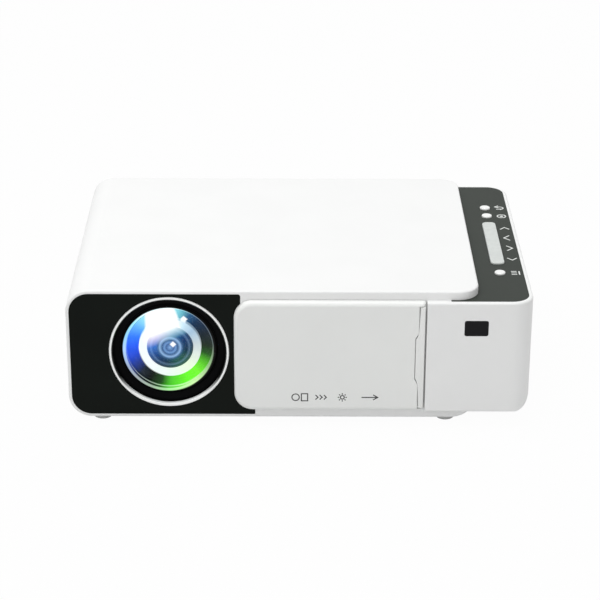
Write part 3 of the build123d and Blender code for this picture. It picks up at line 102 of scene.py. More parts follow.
def plus(tree, first, second):
    return maths(tree, "ADD", first, second)


def minus(tree, first, second):
    return maths(tree, "SUBTRACT", first, second)


def times(tree, first, second):
    return maths(tree, "MULTIPLY", first, second)


def over(tree, first, second):
    return maths(tree, "DIVIDE", first, second)


def offBy(tree, value, place):
    return maths(tree, "ABSOLUTE", minus(tree, value, place))


def objectPoint(tree):
    return addNode(tree, "ShaderNodeTexCoord").outputs["Object"]


def pointParts(tree):
    return addNode(tree, "ShaderNodeSeparateXYZ", {0: objectPoint(tree)}).outputs


def grain(tree, point, size, detail=3.0):
    inputs = {"Vector": point, "Scale": 1 / size, "Detail": detail}
    return addNode(tree, "ShaderNodeTexNoise", inputs).outputs["Fac"]


def spread(tree, value, low, high, outLow=0.0, outHigh=1.0):
    inputs = {0: value, 1: low, 2: high, 3: outLow, 4: outHigh}
    return addNode(tree, "ShaderNodeMapRange", inputs).outputs[0]


def softStep(tree, value, edge, soft, rising=True):
    ends = (0.0, 1.0) if rising else (1.0, 0.0)
    return spread(tree, value, edge - soft, edge + soft, *ends)


# The Mix node's colour sockets follow those of its other kinds: 6 and 7 go in, 2 comes out
def mixColours(tree, amount, first, second, blend="MIX"):
    mix = addNode(tree, "ShaderNodeMix", {0: amount}, data_type="RGBA", blend_type=blend)
    for place, colour in ((6, first), (7, second)):
        given = isinstance(colour, bpy.types.NodeSocket)
        feed(tree, mix, {place: colour if given else (*colour, 1.0)})
    return mix.outputs[2]


def shaded(tree, amount, look):
    colour = look["colour"]
    darker = tuple(channel * look["shade"] for channel in colour)
    return mixColours(tree, amount, colour, darker)


def bumped(tree, height, strength, distance):
    inputs = {"Height": height, "Strength": strength, "Distance": distance}
    return addNode(tree, "ShaderNodeBump", inputs).outputs["Normal"]


def colourRamp(tree, value, stops):
    ramp = addNode(tree, "ShaderNodeValToRGB", {"Fac": value})
    elements = ramp.color_ramp.elements
    elements.remove(elements[-1])
    elements[0].position = stops[0][0]
    elements[0].color = (*stops[0][1], 1.0)
    for place, colour in stops[1:]:
        elements.new(place).color = (*colour, 1.0)
    return ramp.outputs["Color"]


# Moulded plastics: fine spark grain, a faint broad unevenness, roughness that varies with the grain
def mouldedPlastic(name, look):
    look = {**plasticBase, **look}
    material, tree, shader = newMaterial(name)
    point = objectPoint(tree)
    broad = grain(tree, point, look["patch"], look["patchDetail"])
    fine = grain(tree, point, look["grain"], look["grainDetail"])
    tone = spread(tree, broad, *look["patchReach"])
    rough, span = look["rough"], look["roughSpan"]
    feed(tree, shader, {
        "Base Color": shaded(tree, tone, look),
        "Roughness": spread(tree, fine, *noiseReach, rough - span, rough + span),
        "Specular IOR Level": look["specular"],
        "Normal": bumped(tree, fine, look["bump"], look["depth"]),
    })
    return material


plasticBase = {
    "patch": 30 * mm, "patchDetail": 4.0, "patchReach": (0.35, 0.65), "shade": 0.985,
    "grain": 0.35 * mm, "grainDetail": 2.0, "bump": 0.06, "depth": 0.03 * mm,
    "rough": 0.42, "roughSpan": 0.05, "specular": 0.5,
}
plasticLooks = {
    "caseWhite": {"colour": (0.84, 0.845, 0.84)},
    "coverWhite": {"colour": (0.83, 0.84, 0.825), "rough": 0.36},
    "keyWhite": {"colour": (0.86, 0.87, 0.86), "rough": 0.3, "grain": 0.2 * mm},
    "barGrey": {"colour": (0.6, 0.63, 0.61), "rough": 0.34, "grain": 0.5 * mm, "patch": 2.5 * mm,
                "shade": 0.93},
    "deckGrey": {"colour": (0.036, 0.042, 0.036), "rough": 0.55, "bump": 0.12, "specular": 0.12,
                 "shade": 0.92},
    "panelBlack": {"colour": (0.0045, 0.0065, 0.0048), "rough": 0.12, "roughSpan": 0.02,
                   "bump": 0.02, "specular": 0.07, "shade": 0.8},
    "portBlack": {"colour": (0.02, 0.02, 0.021), "rough": 0.55, "bump": 0.15, "shade": 0.85},
    "windowDark": {"colour": (0.003, 0.003, 0.004), "rough": 0.08, "roughSpan": 0.01,
                   "specular": 0.15},
    "ringBlack": {"colour": (0.0015, 0.0015, 0.0018), "rough": 0.45, "specular": 0.03,
                  "shade": 0.8},
    "nylonBlack": {"colour": (0.018, 0.018, 0.019), "rough": 0.5, "bump": 0.12, "shade": 0.85},
    "jackBlack": {"colour": (0.012, 0.012, 0.012), "rough": 0.3},
    "chipBlack": {"colour": (0.02, 0.02, 0.022), "rough": 0.6, "bump": 0.2, "grain": 0.15 * mm},
    "ribbonAmber": {"colour": (0.5, 0.24, 0.05), "rough": 0.3, "patch": 4 * mm, "shade": 0.8},
    "ledYellow": {"colour": (0.85, 0.7, 0.12), "rough": 0.35},
    "footRubber": {"colour": (0.6, 0.61, 0.6), "rough": 0.75, "bump": 0.25, "shade": 0.9},
    "knobBlack": {"colour": (0.025, 0.025, 0.025), "rough": 0.45, "bump": 0.15},
}
finish = {name: mouldedPlastic(name, look) for name, look in plasticLooks.items()}


# Metals: turned or drawn lines in the roughness, with a little staining
def drawnMetal(name, look):
    look = {**metalBase, **look}
    material, tree, shader = newMaterial(name)
    point = objectPoint(tree)
    mapping = addNode(tree, "ShaderNodeMapping", {"Vector": point, "Scale": look["stretch"]})
    lines = grain(tree, mapping.outputs["Vector"], look["grain"], look["grainDetail"])
    stain = grain(tree, point, look["patch"])
    rough, span = look["rough"], look["rough"] * look["roughShare"]
    feed(tree, shader, {
        "Base Color": shaded(tree, stain, look),
        "Roughness": spread(tree, lines, *noiseReach, rough - span, rough + span),
        "Metallic": 1.0,
        "Normal": bumped(tree, lines, look["bump"], look["depth"]),
    })
    return material


metalBase = {
    "grain": 0.4 * mm, "grainDetail": 4.0, "stretch": (1.0, 1.0, 1.0), "patch": 8 * mm,
    "shade": 0.85, "rough": 0.3, "roughShare": 0.3, "bump": 0.1, "depth": 0.02 * mm,
}
metalLooks = {
    "rodSteel": {"colour": (0.55, 0.55, 0.56), "rough": 0.2, "stretch": (0.05, 1.0, 1.0)},
    "magnetNickel": {"colour": (0.62, 0.6, 0.56), "rough": 0.2},
    "pinBrass": {"colour": (0.72, 0.52, 0.22), "rough": 0.28},
    "sinkMetal": {"colour": (0.72, 0.73, 0.74), "rough": 0.35, "stretch": (0.08, 1.0, 1.0)},
    "shellMetal": {"colour": (0.66, 0.65, 0.62), "rough": 0.25, "stretch": (1.0, 0.1, 1.0)},
    "funnelFoil": {"colour": (0.88, 0.88, 0.87), "rough": 0.12, "stretch": (0.1, 1.0, 1.0)},
    "foldSilver": {"colour": (0.9, 0.9, 0.9), "rough": 0.03, "bump": 0.0},
    "contactGold": {"colour": (0.85, 0.6, 0.25), "rough": 0.2},
    "screwSteel": {"colour": (0.5, 0.5, 0.52), "rough": 0.3},
}
finish.update({name: drawnMetal(name, look) for name, look in metalLooks.items()})

# Circuit board: green solder mask with tracks and pads
boardLook = {
    "mask": (0.01, 0.09, 0.03), "track": (0.03, 0.2, 0.07), "pad": (0.6, 0.55, 0.4),
    "pitch": 2.2 * mm, "padShare": 0.45, "padEdge": (0.1, 0.12), "trackShare": 0.3,
    "trackBend": 6.0, "trackEdge": (0.45, 0.55), "bump": 0.3, "depth": 0.03 * mm, "rough": 0.3,
}


def boardGreen(look):
    material, tree, shader = newMaterial("boardGreen")
    point = objectPoint(tree)
    padScale, trackScale = (look[key] / look["pitch"] for key in ("padShare", "trackShare"))
    cells = addNode(tree, "ShaderNodeTexVoronoi", {"Vector": point, "Scale": padScale},
                    distance="MANHATTAN")
    lanes = addNode(tree, "ShaderNodeTexWave", {
        "Vector": point, "Scale": trackScale, "Distortion": look["trackBend"]})
    tracks = spread(tree, lanes.outputs["Fac"], *look["trackEdge"])
    pads = spread(tree, cells.outputs["Distance"], *look["padEdge"], 1.0, 0.0)
    base = mixColours(tree, tracks, look["mask"], look["track"])
    feed(tree, shader, {
        "Base Color": mixColours(tree, pads, base, look["pad"]),
        "Normal": bumped(tree, tracks, look["bump"], look["depth"]),
        "Roughness": look["rough"],
    })
    return material


finish["boardGreen"] = boardGreen(boardLook)

# Cloth cone of the speaker
coneLook = {"dark": (0.015, 0.015, 0.016), "light": (0.04, 0.04, 0.04), "weave": 1.2 * mm,
            "bend": 1.0, "bump": 0.4, "depth": 0.05 * mm, "rough": 0.85}


def coneCloth(look):
    material, tree, shader = newMaterial("coneBlack")
    weave = addNode(tree, "ShaderNodeTexWave", {
        "Vector": objectPoint(tree), "Scale": 1 / look["weave"], "Distortion": look["bend"]})
    threads = weave.outputs["Fac"]
    feed(tree, shader, {
        "Base Color": mixColours(tree, threads, look["dark"], look["light"]),
        "Normal": bumped(tree, threads, look["bump"], look["depth"]),
        "Roughness": look["rough"],
    })
    return material


finish["coneBlack"] = coneCloth(coneLook)

# Clear glass that lets the lamps through, with a faint coating tint
glassBase = {"patch": 6 * mm, "haze": 0.02, "shade": 0.97, "specular": 0.5}
glassLooks = {
    "frontGlass": {"colour": (0.99, 0.995, 1.0), "index": 1.1, "specular": 0.2},
    "lampGlass": {"colour": (1.0, 1.0, 0.98), "index": 1.5},
    "pictureGlass": {"colour": (0.18, 0.2, 0.24), "index": 1.4},
}


def clearGlass(name, look):
    look = {**glassBase, **look}
    material, tree, shader = newMaterial(name)
    haze = grain(tree, objectPoint(tree), look["patch"])
    feed(tree, shader, {
        "Base Color": shaded(tree, haze, look),
        "Roughness": spread(tree, haze, *noiseReach, 0.0, look["haze"]),
        "Transmission Weight": 1.0,
        "IOR": look["index"],
        "Specular IOR Level": look["specular"],
    })
    lampRay = addNode(tree, "ShaderNodeLightPath").outputs["Is Shadow Ray"]
    clear = addNode(tree, "ShaderNodeBsdfTransparent", {"Color": (*look["colour"], 1.0)})
    mixSurface(tree, shader, lampRay, clear)
    return material


finish.update({name: clearGlass(name, look) for name, look in glassLooks.items()})

# Lens: painted reflections, a painted glare and painted shade on its coatings, given out as glow
# though nothing in it is a lamp, by radius in millimetres and by angle round the lens axis.
# Angles are in degrees from the right, counter-clockwise seen from the front. An edge is a
# place and how far it is softened to each side.
glowBase = {"unevenness": 0.05, "patch": 2.5 * mm, "patchDetail": 2.0, "rough": 0.3,
            "specular": 0.1}
# Painted reflection colours, painted glare, glint and highlight, and painted shade for the lens
# pieces
lensReflectionLook = {
    **glowBase,
    "glow": 1.03,
    "underTone": 0.1,
    "slip": (0.1, -0.5),
    "ringEdge": (13.5, 0.08),
    "ringShade": (0.36, 0.4, 0.38),
    "shadeFrom": (13.0, 0.12),
    "shadeSide": (11.0, 1.3),
    "wallReflectionTones": [
        (-180, (0.023, 0.115, 0.88)), (-165, (0.02, 0.075, 0.66)), (-150, (0.016, 0.04, 0.25)),
        (-136, (0.01, 0.018, 0.03)), (-120, (0.003, 0.005, 0.004)), (-103, (0.01, 0.06, 0.008)),
        (-90, (0.07, 0.55, 0.02)), (-62, (0.14, 0.96, 0.02)), (-45, (0.17, 0.88, 0.03)),
        (-28, (0.09, 0.5, 0.02)), (-13, (0.02, 0.09, 0.015)), (0, (0.015, 0.027, 0.015)),
        (22, (0.012, 0.02, 0.03)), (45, (0.012, 0.035, 0.085)), (60, (0.03, 0.11, 0.24)),
        (71, (0.14, 0.46, 0.56)), (84, (0.3, 0.8, 0.9)), (132, (0.3, 0.76, 0.92)),
        (148, (0.12, 0.43, 0.92)), (164, (0.035, 0.2, 0.92)), (180, (0.023, 0.115, 0.88)),
    ],
    "ringReflectionTones": [
        (-180, (0.87, 0.96, 1.0)), (-135, (0.86, 0.91, 0.94)), (-90, (0.8, 0.95, 0.83)),
        (-45, (0.8, 0.96, 0.7)), (-12, (0.7, 0.78, 0.72)), (12, (0.55, 0.63, 0.66)),
        (40, (0.36, 0.52, 0.68)), (62, (0.6, 0.8, 0.92)), (80, white), (180, (0.87, 0.96, 1.0)),
    ],
    "glareSides": (-10.6, 7.4),
    "glareLean": 0.3,
    "glareSoft": 0.55,
    "glareFoot": (3.5, 1.5),
    "fleckAndGlint": (6.0, 12.3, 1.9, 1.7),
    "glintEdge": (0.85, 0.25),
    "discReach": 10.15,
    "discReflectionTones": [
        (0.0, (0.24, 0.4, 0.68)), (1.0, (0.1, 0.22, 0.46)), (1.6, (0.05, 0.12, 0.3)),
        (2.4, (0.15, 0.3, 0.58)), (3.4, (0.035, 0.1, 0.24)), (4.5, (0.27, 0.45, 0.72)),
        (5.2, (0.05, 0.13, 0.27)), (6.0, (0.012, 0.045, 0.1)), (7.4, (0.006, 0.026, 0.06)),
        (8.4, (0.075, 0.14, 0.23)), (9.0, (0.014, 0.04, 0.07)), (9.9, (0.04, 0.07, 0.09)),
    ],
    "discReflectionTints": [
        (-180, (0.03, 0.12, 0.46)), (-150, (0.005, 0.03, 0.16)), (-125, (0.0, 0.004, 0.03)),
        (-100, (0.0, 0.005, 0.0)), (-70, (0.008, 0.055, 0.0)), (-40, (0.012, 0.06, 0.0)),
        (-10, (0.0, 0.006, 0.0)), (30, (0.0, 0.006, 0.06)), (60, (0.01, 0.06, 0.18)),
        (150, (0.04, 0.14, 0.46)), (180, (0.03, 0.12, 0.46)),
    ],
    "reflectionTintEdge": (5.6, 0.6),
    "glareWashLean": (-0.38, 0.92),
    "glareWashReach": (2.8, 8.0),
    "glareWashTurn": (-6.0, 1.0),
    "glareWashLeft": [(0.0, (0.7, 0.66, 1.0)), (0.6, (0.95, 0.85, 1.0)), (1.0, white)],
    "glareWashRight": [(0.0, (0.3, 0.85, 1.0)), (0.6, (0.7, 0.95, 1.0)), (1.0, white)],
    "sparkle": (1.3, 1.5),
    "sparkleEdge": (1.35, 0.35),
}


def lensPolar(tree, slip=(0.0, 0.0)):
    parts = pointParts(tree)
    across = over(tree, minus(tree, parts["X"], lensX + slip[0] * mm), mm)
    up = over(tree, minus(tree, parts["Z"], lensZ + slip[1] * mm), mm)
    square = plus(tree, times(tree, across, across), times(tree, up, up))
    turn = over(tree, maths(tree, "ARCTAN2", up, across), 2 * math.pi)
    return maths(tree, "SQRT", square), plus(tree, turn, 0.5), across, up


def toneRound(tree, turn, reflectionTones):
    return colourRamp(tree, turn, [((angle + 180) / 360, colour) for angle, colour in reflectionTones])


# Painted glow: the painted colours are given out as emission, so these lens parts shine as if lit
def glowing(tree, shader, colour, look):
    spots = grain(tree, objectPoint(tree), look["patch"], look["patchDetail"])
    uneven = spread(tree, spots, *noiseReach, 0.0, look["unevenness"])
    lit = mixColours(tree, uneven, colour, black)
    feed(tree, shader, {
        "Base Color": mixColours(tree, 1 - look["underTone"], lit, black),
        "Emission Color": lit,
        "Emission Strength": look["glow"],
        "Roughness": look["rough"],
        "Specular IOR Level": look["specular"],
    })


# The cell's wall and its white ring in painted reflection colours, the painted glare that crosses
# both at the top, a small painted glint and painted shade along the ring's lower-left edge
def reflectionGlowWall(look):
    material, tree, shader = newMaterial("reflectionGlowWall")
    radius, turn, across, up = lensPolar(tree, look["slip"])
    left, right = look["glareSides"]
    soft = look["glareSoft"]
    # Painted glare: a white band across the top, leaning a little
    leaning = plus(tree, across, times(tree, up, look["glareLean"]))
    between = times(tree, softStep(tree, across, left, soft),
                    softStep(tree, leaning, right, soft, rising=False))
    glare = times(tree, between, softStep(tree, up, *look["glareFoot"]))
    # Painted glint: a small white diamond of reflection on the wall
    glintX, glintZ, glintWide, glintTall = look["fleckAndGlint"]
    away = plus(tree, over(tree, offBy(tree, across, glintX), glintWide),
                over(tree, offBy(tree, up, glintZ), glintTall))
    fleckAndGlint = softStep(tree, away, *look["glintEdge"], rising=False)
    wall = mixColours(tree, maths(tree, "MAXIMUM", glare, fleckAndGlint),
                      toneRound(tree, turn, look["wallReflectionTones"]), white)
    # Painted shade: the ring's outer edge darkens at the lower left
    lowerLeft = times(tree, plus(tree, across, up), -math.sqrt(0.5))
    shade = times(tree, softStep(tree, radius, *look["shadeFrom"]),
                  softStep(tree, lowerLeft, *look["shadeSide"]))
    ring = mixColours(tree, shade, toneRound(tree, turn, look["ringReflectionTones"]), look["ringShade"])
    ring = mixColours(tree, glare, ring, white)
    onRing = softStep(tree, radius, *look["ringEdge"], rising=False)
    glowing(tree, shader, mixColours(tree, onRing, wall, ring), look)
    return material


# The inner glass: painted reflections in rings, bluer at the left, greener below, with a painted
# glare over the upper left and a painted highlight near the middle
def reflectionGlowDisc(look):
    material, tree, shader = newMaterial("reflectionGlowDisc")
    radius, turn, across, up = lensPolar(tree, look["slip"])
    reach = look["discReach"]
    # Painted reflection rings by radius, tinted by angle
    stops = [(place / reach, colour) for place, colour in look["discReflectionTones"]]
    bands = colourRamp(tree, over(tree, radius, reach), stops)
    reflectedTint = toneRound(tree, turn, look["discReflectionTints"])
    reflectionTinted = mixColours(tree, softStep(tree, radius, *look["reflectionTintEdge"]), bands, reflectedTint, blend="ADD")
    # Painted glare washing over the upper left
    leanX, leanZ = look["glareWashLean"]
    lean = plus(tree, times(tree, across, leanX), times(tree, up, leanZ))
    glareWash = spread(tree, lean, *look["glareWashReach"])
    tone = mixColours(tree, spread(tree, across, *look["glareWashTurn"]),
                      colourRamp(tree, glareWash, look["glareWashLeft"]),
                      colourRamp(tree, glareWash, look["glareWashRight"]))
    # Painted highlight near the middle
    sparkleX, sparkleZ = look["sparkle"]
    away = plus(tree, offBy(tree, across, sparkleX), offBy(tree, up, sparkleZ))
    sparkle = softStep(tree, away, *look["sparkleEdge"], rising=False)
    glareWashed = mixColours(tree, glareWash, reflectionTinted, tone)
    glowing(tree, shader, mixColours(tree, sparkle, glareWashed, white), look)
    return material


finish["reflectionGlowWall"] = reflectionGlowWall(lensReflectionLook)
finish["reflectionGlowDisc"] = reflectionGlowDisc(lensReflectionLook)

# Retainer and barrel round the front glass: the wall's painted reflections go on, then a
# painted bright reflection along the bevel, then a dark lip
rimLook = {
    **glowBase,
    "glow": 0.95,
    "underTone": 0.2,
    "innerSlip": (-0.5, -0.65),
    "innerEdge": (18.3, 0.12),
    "outerSlip": (-0.5, -0.15),
    "outerEdge": (19.6, 0.12),
    "lip": (0.002, 0.002, 0.002),
    "reflectionTones": [
        (-180, (0.42, 0.64, 0.97)), (-155, (0.34, 0.42, 0.6)), (-135, (0.36, 0.4, 0.42)),
        (-112, (0.35, 0.48, 0.35)), (-90, (0.4, 0.85, 0.34)), (-55, (0.6, 0.92, 0.42)),
        (-25, (0.3, 0.5, 0.24)), (0, (0.15, 0.19, 0.16)), (30, (0.14, 0.18, 0.24)),
        (52, (0.2, 0.28, 0.36)), (68, (0.3, 0.66, 0.75)), (85, (0.85, 0.98, 1.0)),
        (120, (0.8, 0.97, 1.0)), (140, (0.34, 0.8, 0.94)), (160, (0.3, 0.66, 0.95)),
        (180, (0.42, 0.64, 0.97)),
    ],
}


def rimSheen(look):
    material, tree, shader = newMaterial("rimSheen")
    innerRadius = lensPolar(tree, look["innerSlip"])[0]
    outerRadius, turn = lensPolar(tree, look["outerSlip"])[:2]
    wall = toneRound(tree, turn, lensReflectionLook["wallReflectionTones"])
    # Painted reflection line on the bevel, inside the dark lip
    line = mixColours(tree, softStep(tree, innerRadius, *look["innerEdge"]), wall,
                      toneRound(tree, turn, look["reflectionTones"]))
    beyond = softStep(tree, outerRadius, *look["outerEdge"])
    glowing(tree, shader, mixColours(tree, beyond, line, look["lip"]), look)
    return material


finish["rimSheen"] = rimSheen(rimLook)

# Trim ring: bright satin. Its inner bevel is painted dark as shade but for its lit foot, and so is
# its bore's far end
trimLook = {
    "bright": (0.99, 1.0, 0.99), "dark": (0.01, 0.011, 0.01), "bevel": (24.85, 0.1),
    "lit": (-16.0, 4.0), "bore": (1.8, 0.3), "grain": 0.4 * mm, "grainDetail": 4.0,
    "bump": 0.02, "depth": 0.02 * mm, "rough": (0.16, 0.28),
}


def trimSilver(look):
    material, tree, shader = newMaterial("trimSilver")
    polar = lensPolar(tree)
    radius, up = polar[0], polar[3]
    inward = over(tree, minus(tree, pointParts(tree)["Y"], trimFace), mm)
    # Painted shade over the inner bevel, except at its foot, and deep in the bore
    inside = softStep(tree, radius, *look["bevel"], rising=False)
    unlit = maths(tree, "MAXIMUM", softStep(tree, up, *look["lit"]),
                  softStep(tree, inward, *look["bore"]))
    lines = grain(tree, objectPoint(tree), look["grain"], look["grainDetail"])
    feed(tree, shader, {
        "Base Color": mixColours(tree, times(tree, inside, unlit), look["bright"], look["dark"]),
        "Roughness": spread(tree, lines, *noiseReach, *look["rough"]),
        "Normal": bumped(tree, lines, look["bump"], look["depth"]),
    })
    return material


finish["trimSilver"] = trimSilver(trimLook)
print("finishes made:", len(finish))

# Which finish each node of the frame wears
wearers = {
    "caseWhite": ["base_cover", "top_cover", "end_block"],
    "coverWhite": ["slide_cover", "cover_grip"],
    "keyWhite": ["power_button", "source_button", "menu_button"],
    "barGrey": ["arrow_bar"],
    "deckGrey": ["control_panel"],
    "panelBlack": ["front_panel"],
    "portBlack": ["rear_panel"],
    "windowDark": ["ir_window"],
    "ringBlack": ["focus_ring"],
    "nylonBlack": ["cover_carriage", "rail_frame", "lens_housing", "fold_chamber", "lamp_holder",
                   "fan_frame", "fan_rotor"],
    "jackBlack": ["av_jack", "headphone_jack", "dc_inlet"],
    "chipBlack": ["tact_switches", "ir_receiver", "board_parts", "driver_parts"],
    "ribbonAmber": ["lcd_ribbon"],
    "ledYellow": ["led_chip"],
    "footRubber": ["rubber_feet", "foot_pad"],
    "knobBlack": ["foot_screw"],
    "trimSilver": ["trim_ring"],
    "rimSheen": ["lens_retainer", "lens_barrel"],
    "rodSteel": ["guide_rods"],
    "screwSteel": ["case_screws"],
    "magnetNickel": ["cover_magnet"],
    "pinBrass": ["cam_pins", "tripod_insert"],
    "sinkMetal": ["led_plate", "heat_sink"],
    "shellMetal": ["hdmi_socket", "usb_socket", "speaker_frame"],
    "funnelFoil": ["light_funnel"],
    "foldSilver": ["fold_mirror"],
    "boardGreen": ["key_board", "hall_sensor", "main_board", "driver_board"],
    "coneBlack": ["speaker_cone"],
    "frontGlass": ["front_lens"],
    "reflectionGlowWall": ["lens_cell"],
    "reflectionGlowDisc": ["inner_lens"],
    "lampGlass": ["condenser_lens", "fresnel_lens", "rear_lens"],
    "pictureGlass": ["lcd_panel"],
}
for name, members in wearers.items():
    for member in members:
        for slot in nodes[member].material_slots:
            slot.material = finish[name]
print("finishes worn")


# Mesh helpers
def placeMesh(data, name, smooth=False):
    if smooth:
        data.shade_smooth()
        data.set_sharp_from_angle(angle=sharpAngle)
    made = bpy.data.objects.new(name, data)
    bpy.context.scene.collection.objects.link(made)
    return made


def finishMesh(mesh, name, material, smooth=False):
    bmesh.ops.recalc_face_normals(mesh, faces=mesh.faces)
    data = bpy.data.meshes.new(name)
    mesh.to_mesh(data)
    mesh.free()
    data.materials.append(material)
    return placeMesh(data, name, smooth)


def settle(piece, body, replaced=()):
    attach(piece, body)
    if replaced:
        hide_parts(*replaced)


# Lens pieces turned round the lens axis, from points of radius and depth in millimetres.
# A slip moves the front face sideways and up; it fades out towards the seats and the barrel.
slipFade = {"seat": -50.0, "length": 10.0, "barrel": 17.5, "band": 3.5}


def slipShare(radius, depth, look):
    alongAxis = (look["seat"] - depth) / look["length"]
    outward = (look["barrel"] - radius) / look["band"]
    return min(max(alongAxis, 0), 1) * min(max(outward, 0), 1)


def turnedPiece(name, profile, material, slip=(0.0, 0.0), steps=96):
    mesh = bmesh.new()
    rings = []
    for radius, depth in profile:
        share = slipShare(radius, depth, slipFade) * mm
        middle = Vector((lensX + slip[0] * share, depth * mm, lensZ + slip[1] * share))
        turns = [2 * math.pi * k / steps for k in range(steps if radius else 1)]
        rings.append([mesh.verts.new(middle + radius * mm * Vector((math.cos(a), 0, math.sin(a))))
                      for a in turns])
    pairs = list(zip(rings, rings[1:])) + ([(rings[-1], rings[0])] if profile[0][0] else [])
    for first, second in pairs:
        for k in range(steps):
            corners = [first[k % len(first)], first[(k + 1) % steps % len(first)],
                       second[(k + 1) % steps % len(second)], second[k % len(second)]]
            mesh.faces.new(list(dict.fromkeys(corners)))
    return finishMesh(mesh, name, material, smooth=True)


# Front glass: a thin bulged meniscus with a flat land in its seat
glassLook = {"clear": 18.1, "edge": 19.45, "front": -62.8, "back": -60.85, "bulge": 1.7,
             "thick": 1.2, "steps": 12}


def glassProfile(look):
    clear, edge, front, back = (look[key] for key in ("clear", "edge", "front", "back"))
    shares = [k / look["steps"] for k in range(look["steps"] + 1)]
    reach = [(clear * share, front - look["bulge"] * (1 - share ** 2)) for share in shares]
    hollow = [(radius, depth + look["thick"]) for radius, depth in reversed(reach)]
    return reach + [(edge, front), (edge, back), (clear, back)] + hollow


frontGlass = turnedPiece("frontGlass", glassProfile(glassLook), finish["frontGlass"])
settle(frontGlass, "barrel", ["front_lens"])

# Lens cell: bore, rounded ring close behind the glass, a fine groove, then the wall out to the
# barrel, all wearing painted, glowing reflections. The bowl's points are radii and depths behind
# the ring's face.
cellLook = {
    "bore": 10.2, "back": -50.0, "face": -61.95, "ring": 13.5, "round": 0.45, "steps": 4,
    "groove": 2.6, "bowl": [(13.85, 3.0), (14.7, 2.9), (16.1, 2.4), (17.5, 1.6), (18.5, 1.25)],
}


def cellProfile(look):
    bore, back, face, ring, curve = (look[key] for key in ("bore", "back", "face", "ring", "round"))
    angles = [math.pi / 2 * k / look["steps"] for k in range(look["steps"] + 1)]
    corner = [(curve * (1 - math.cos(a)), curve * (1 - math.sin(a))) for a in angles]
    inner = [(bore + x, face + y) for x, y in corner]
    outer = [(ring - x, face + y) for x, y in reversed(corner)]
    bowl = [(radius, face + depth) for radius, depth in look["bowl"]]
    return [(bore, back)] + inner + outer + [(ring, face + look["groove"])] + bowl + [
        (bowl[-1][0], back)]


reflectionGlowCell = turnedPiece("reflectionGlowCell", cellProfile(cellLook), finish["reflectionGlowWall"],
                         lensReflectionLook["slip"])
settle(reflectionGlowCell, "barrel", ["lens_cell"])

# Inner glass: a rod with a gently domed face and a flange in its seat
coreLook = {"radius": 10.05, "face": -61.55, "dome": 0.8, "steps": 8, "flange": 12.0,
            "seat": -49.95, "back": -48.0, "tailEdge": -46.1, "tail": -45.6}


def coreProfile(look):
    radius, flange = look["radius"], look["flange"]
    shares = [k / look["steps"] for k in range(look["steps"] + 1)]
    dome = [(radius * share, look["face"] + look["dome"] * share ** 2) for share in shares]
    return dome + [(radius, look["seat"]), (flange, look["seat"]), (flange, look["back"]),
                   (flange / 2, look["tailEdge"]), (0, look["tail"])]


innerGlass = turnedPiece("innerGlass", coreProfile(coreLook), finish["reflectionGlowDisc"],
                         lensReflectionLook["slip"])
settle(innerGlass, "barrel", ["inner_lens"])
print("lens pieces turned")


# Grows a piece with Geometry Nodes on a few seed points and keeps the result as a plain mesh
def growPiece(name, seeds, sizes, build, material, extra=None):
    tree = bpy.data.node_groups.new(name, "GeometryNodeTree")
    sockets = tree.interface
    sockets.new_socket(name="Seeds", in_out="INPUT", socket_type="NodeSocketGeometry")
    keys = {}
    for label, value in sizes.items():
        kind = "NodeSocketInt" if isinstance(value, int) else "NodeSocketFloat"
        keys[label] = sockets.new_socket(name=label, in_out="INPUT", socket_type=kind).identifier
    sockets.new_socket(name="Piece", in_out="OUTPUT", socket_type="NodeSocketGeometry")
    given = addNode(tree, "NodeGroupInput").outputs
    inputs = {"Geometry": realized(tree, build(tree, given)), "Material": material}
    addNode(tree, "NodeGroupOutput", {0: shape(tree, "SetMaterial", inputs)})

    data = bpy.data.meshes.new(name + "Seeds")
    data.from_pydata([Vector(seed) * mm for seed in seeds], [], [])
    for label, values in (extra or {}).items():
        data.attributes.new(label, "FLOAT", "POINT").data.foreach_set("value", values)
    holder = bpy.data.objects.new(name + "Seeds", data)
    bpy.context.scene.collection.objects.link(holder)
    grow = holder.modifiers.new("grow", "NODES")
    grow.node_group = tree
    for label, value in sizes.items():
        grow[keys[label]] = value
    evaluated = holder.evaluated_get(bpy.context.evaluated_depsgraph_get())
    grown = bpy.data.meshes.new_from_object(evaluated)
    bpy.data.objects.remove(holder)
    return placeMesh(grown, name, smooth=True)


def shape(tree, kind, inputs=None, **settings):
    return addNode(tree, "GeometryNode" + kind, inputs, **settings).outputs[0]


def realized(tree, geometry):
    return shape(tree, "RealizeInstances", {"Geometry": geometry})


def vector(tree, x=0.0, y=0.0, z=0.0):
    return addNode(tree, "ShaderNodeCombineXYZ", {0: x, 1: y, 2: z}).outputs[0]


def moved(tree, geometry, offset, turn=(0.0, 0.0, 0.0)):
    inputs = {"Geometry": geometry, "Translation": offset, "Rotation": turn}
    return shape(tree, "Transform", inputs)


def bar(tree, radius, depth, sides):
    return shape(tree, "MeshCylinder", {"Vertices": sides, "Radius": radius, "Depth": depth})


def box(tree, x, y, z):
    return shape(tree, "MeshCube", {"Size": vector(tree, x, y, z)})


def ringCurve(tree, resolution, radius):
    return shape(tree, "CurvePrimitiveCircle", {"Resolution": resolution, "Radius": radius})


def joined(tree, *parts):
    node = tree.nodes.new("GeometryNodeJoinGeometry")
    for part in parts:
        tree.links.new(part, node.inputs[0])
    return node.outputs[0]


def cut(tree, geometry, *tools):
    inputs = {"Mesh 1": geometry}
    node = addNode(tree, "GeometryNodeMeshBoolean", inputs, operation="DIFFERENCE")
    for tool in tools:
        tree.links.new(tool, node.inputs["Mesh 2"])
    return node.outputs["Mesh"]


def scattered(tree, points, part, **settings):
    return shape(tree, "InstanceOnPoints", {"Points": points, "Instance": part, **settings})


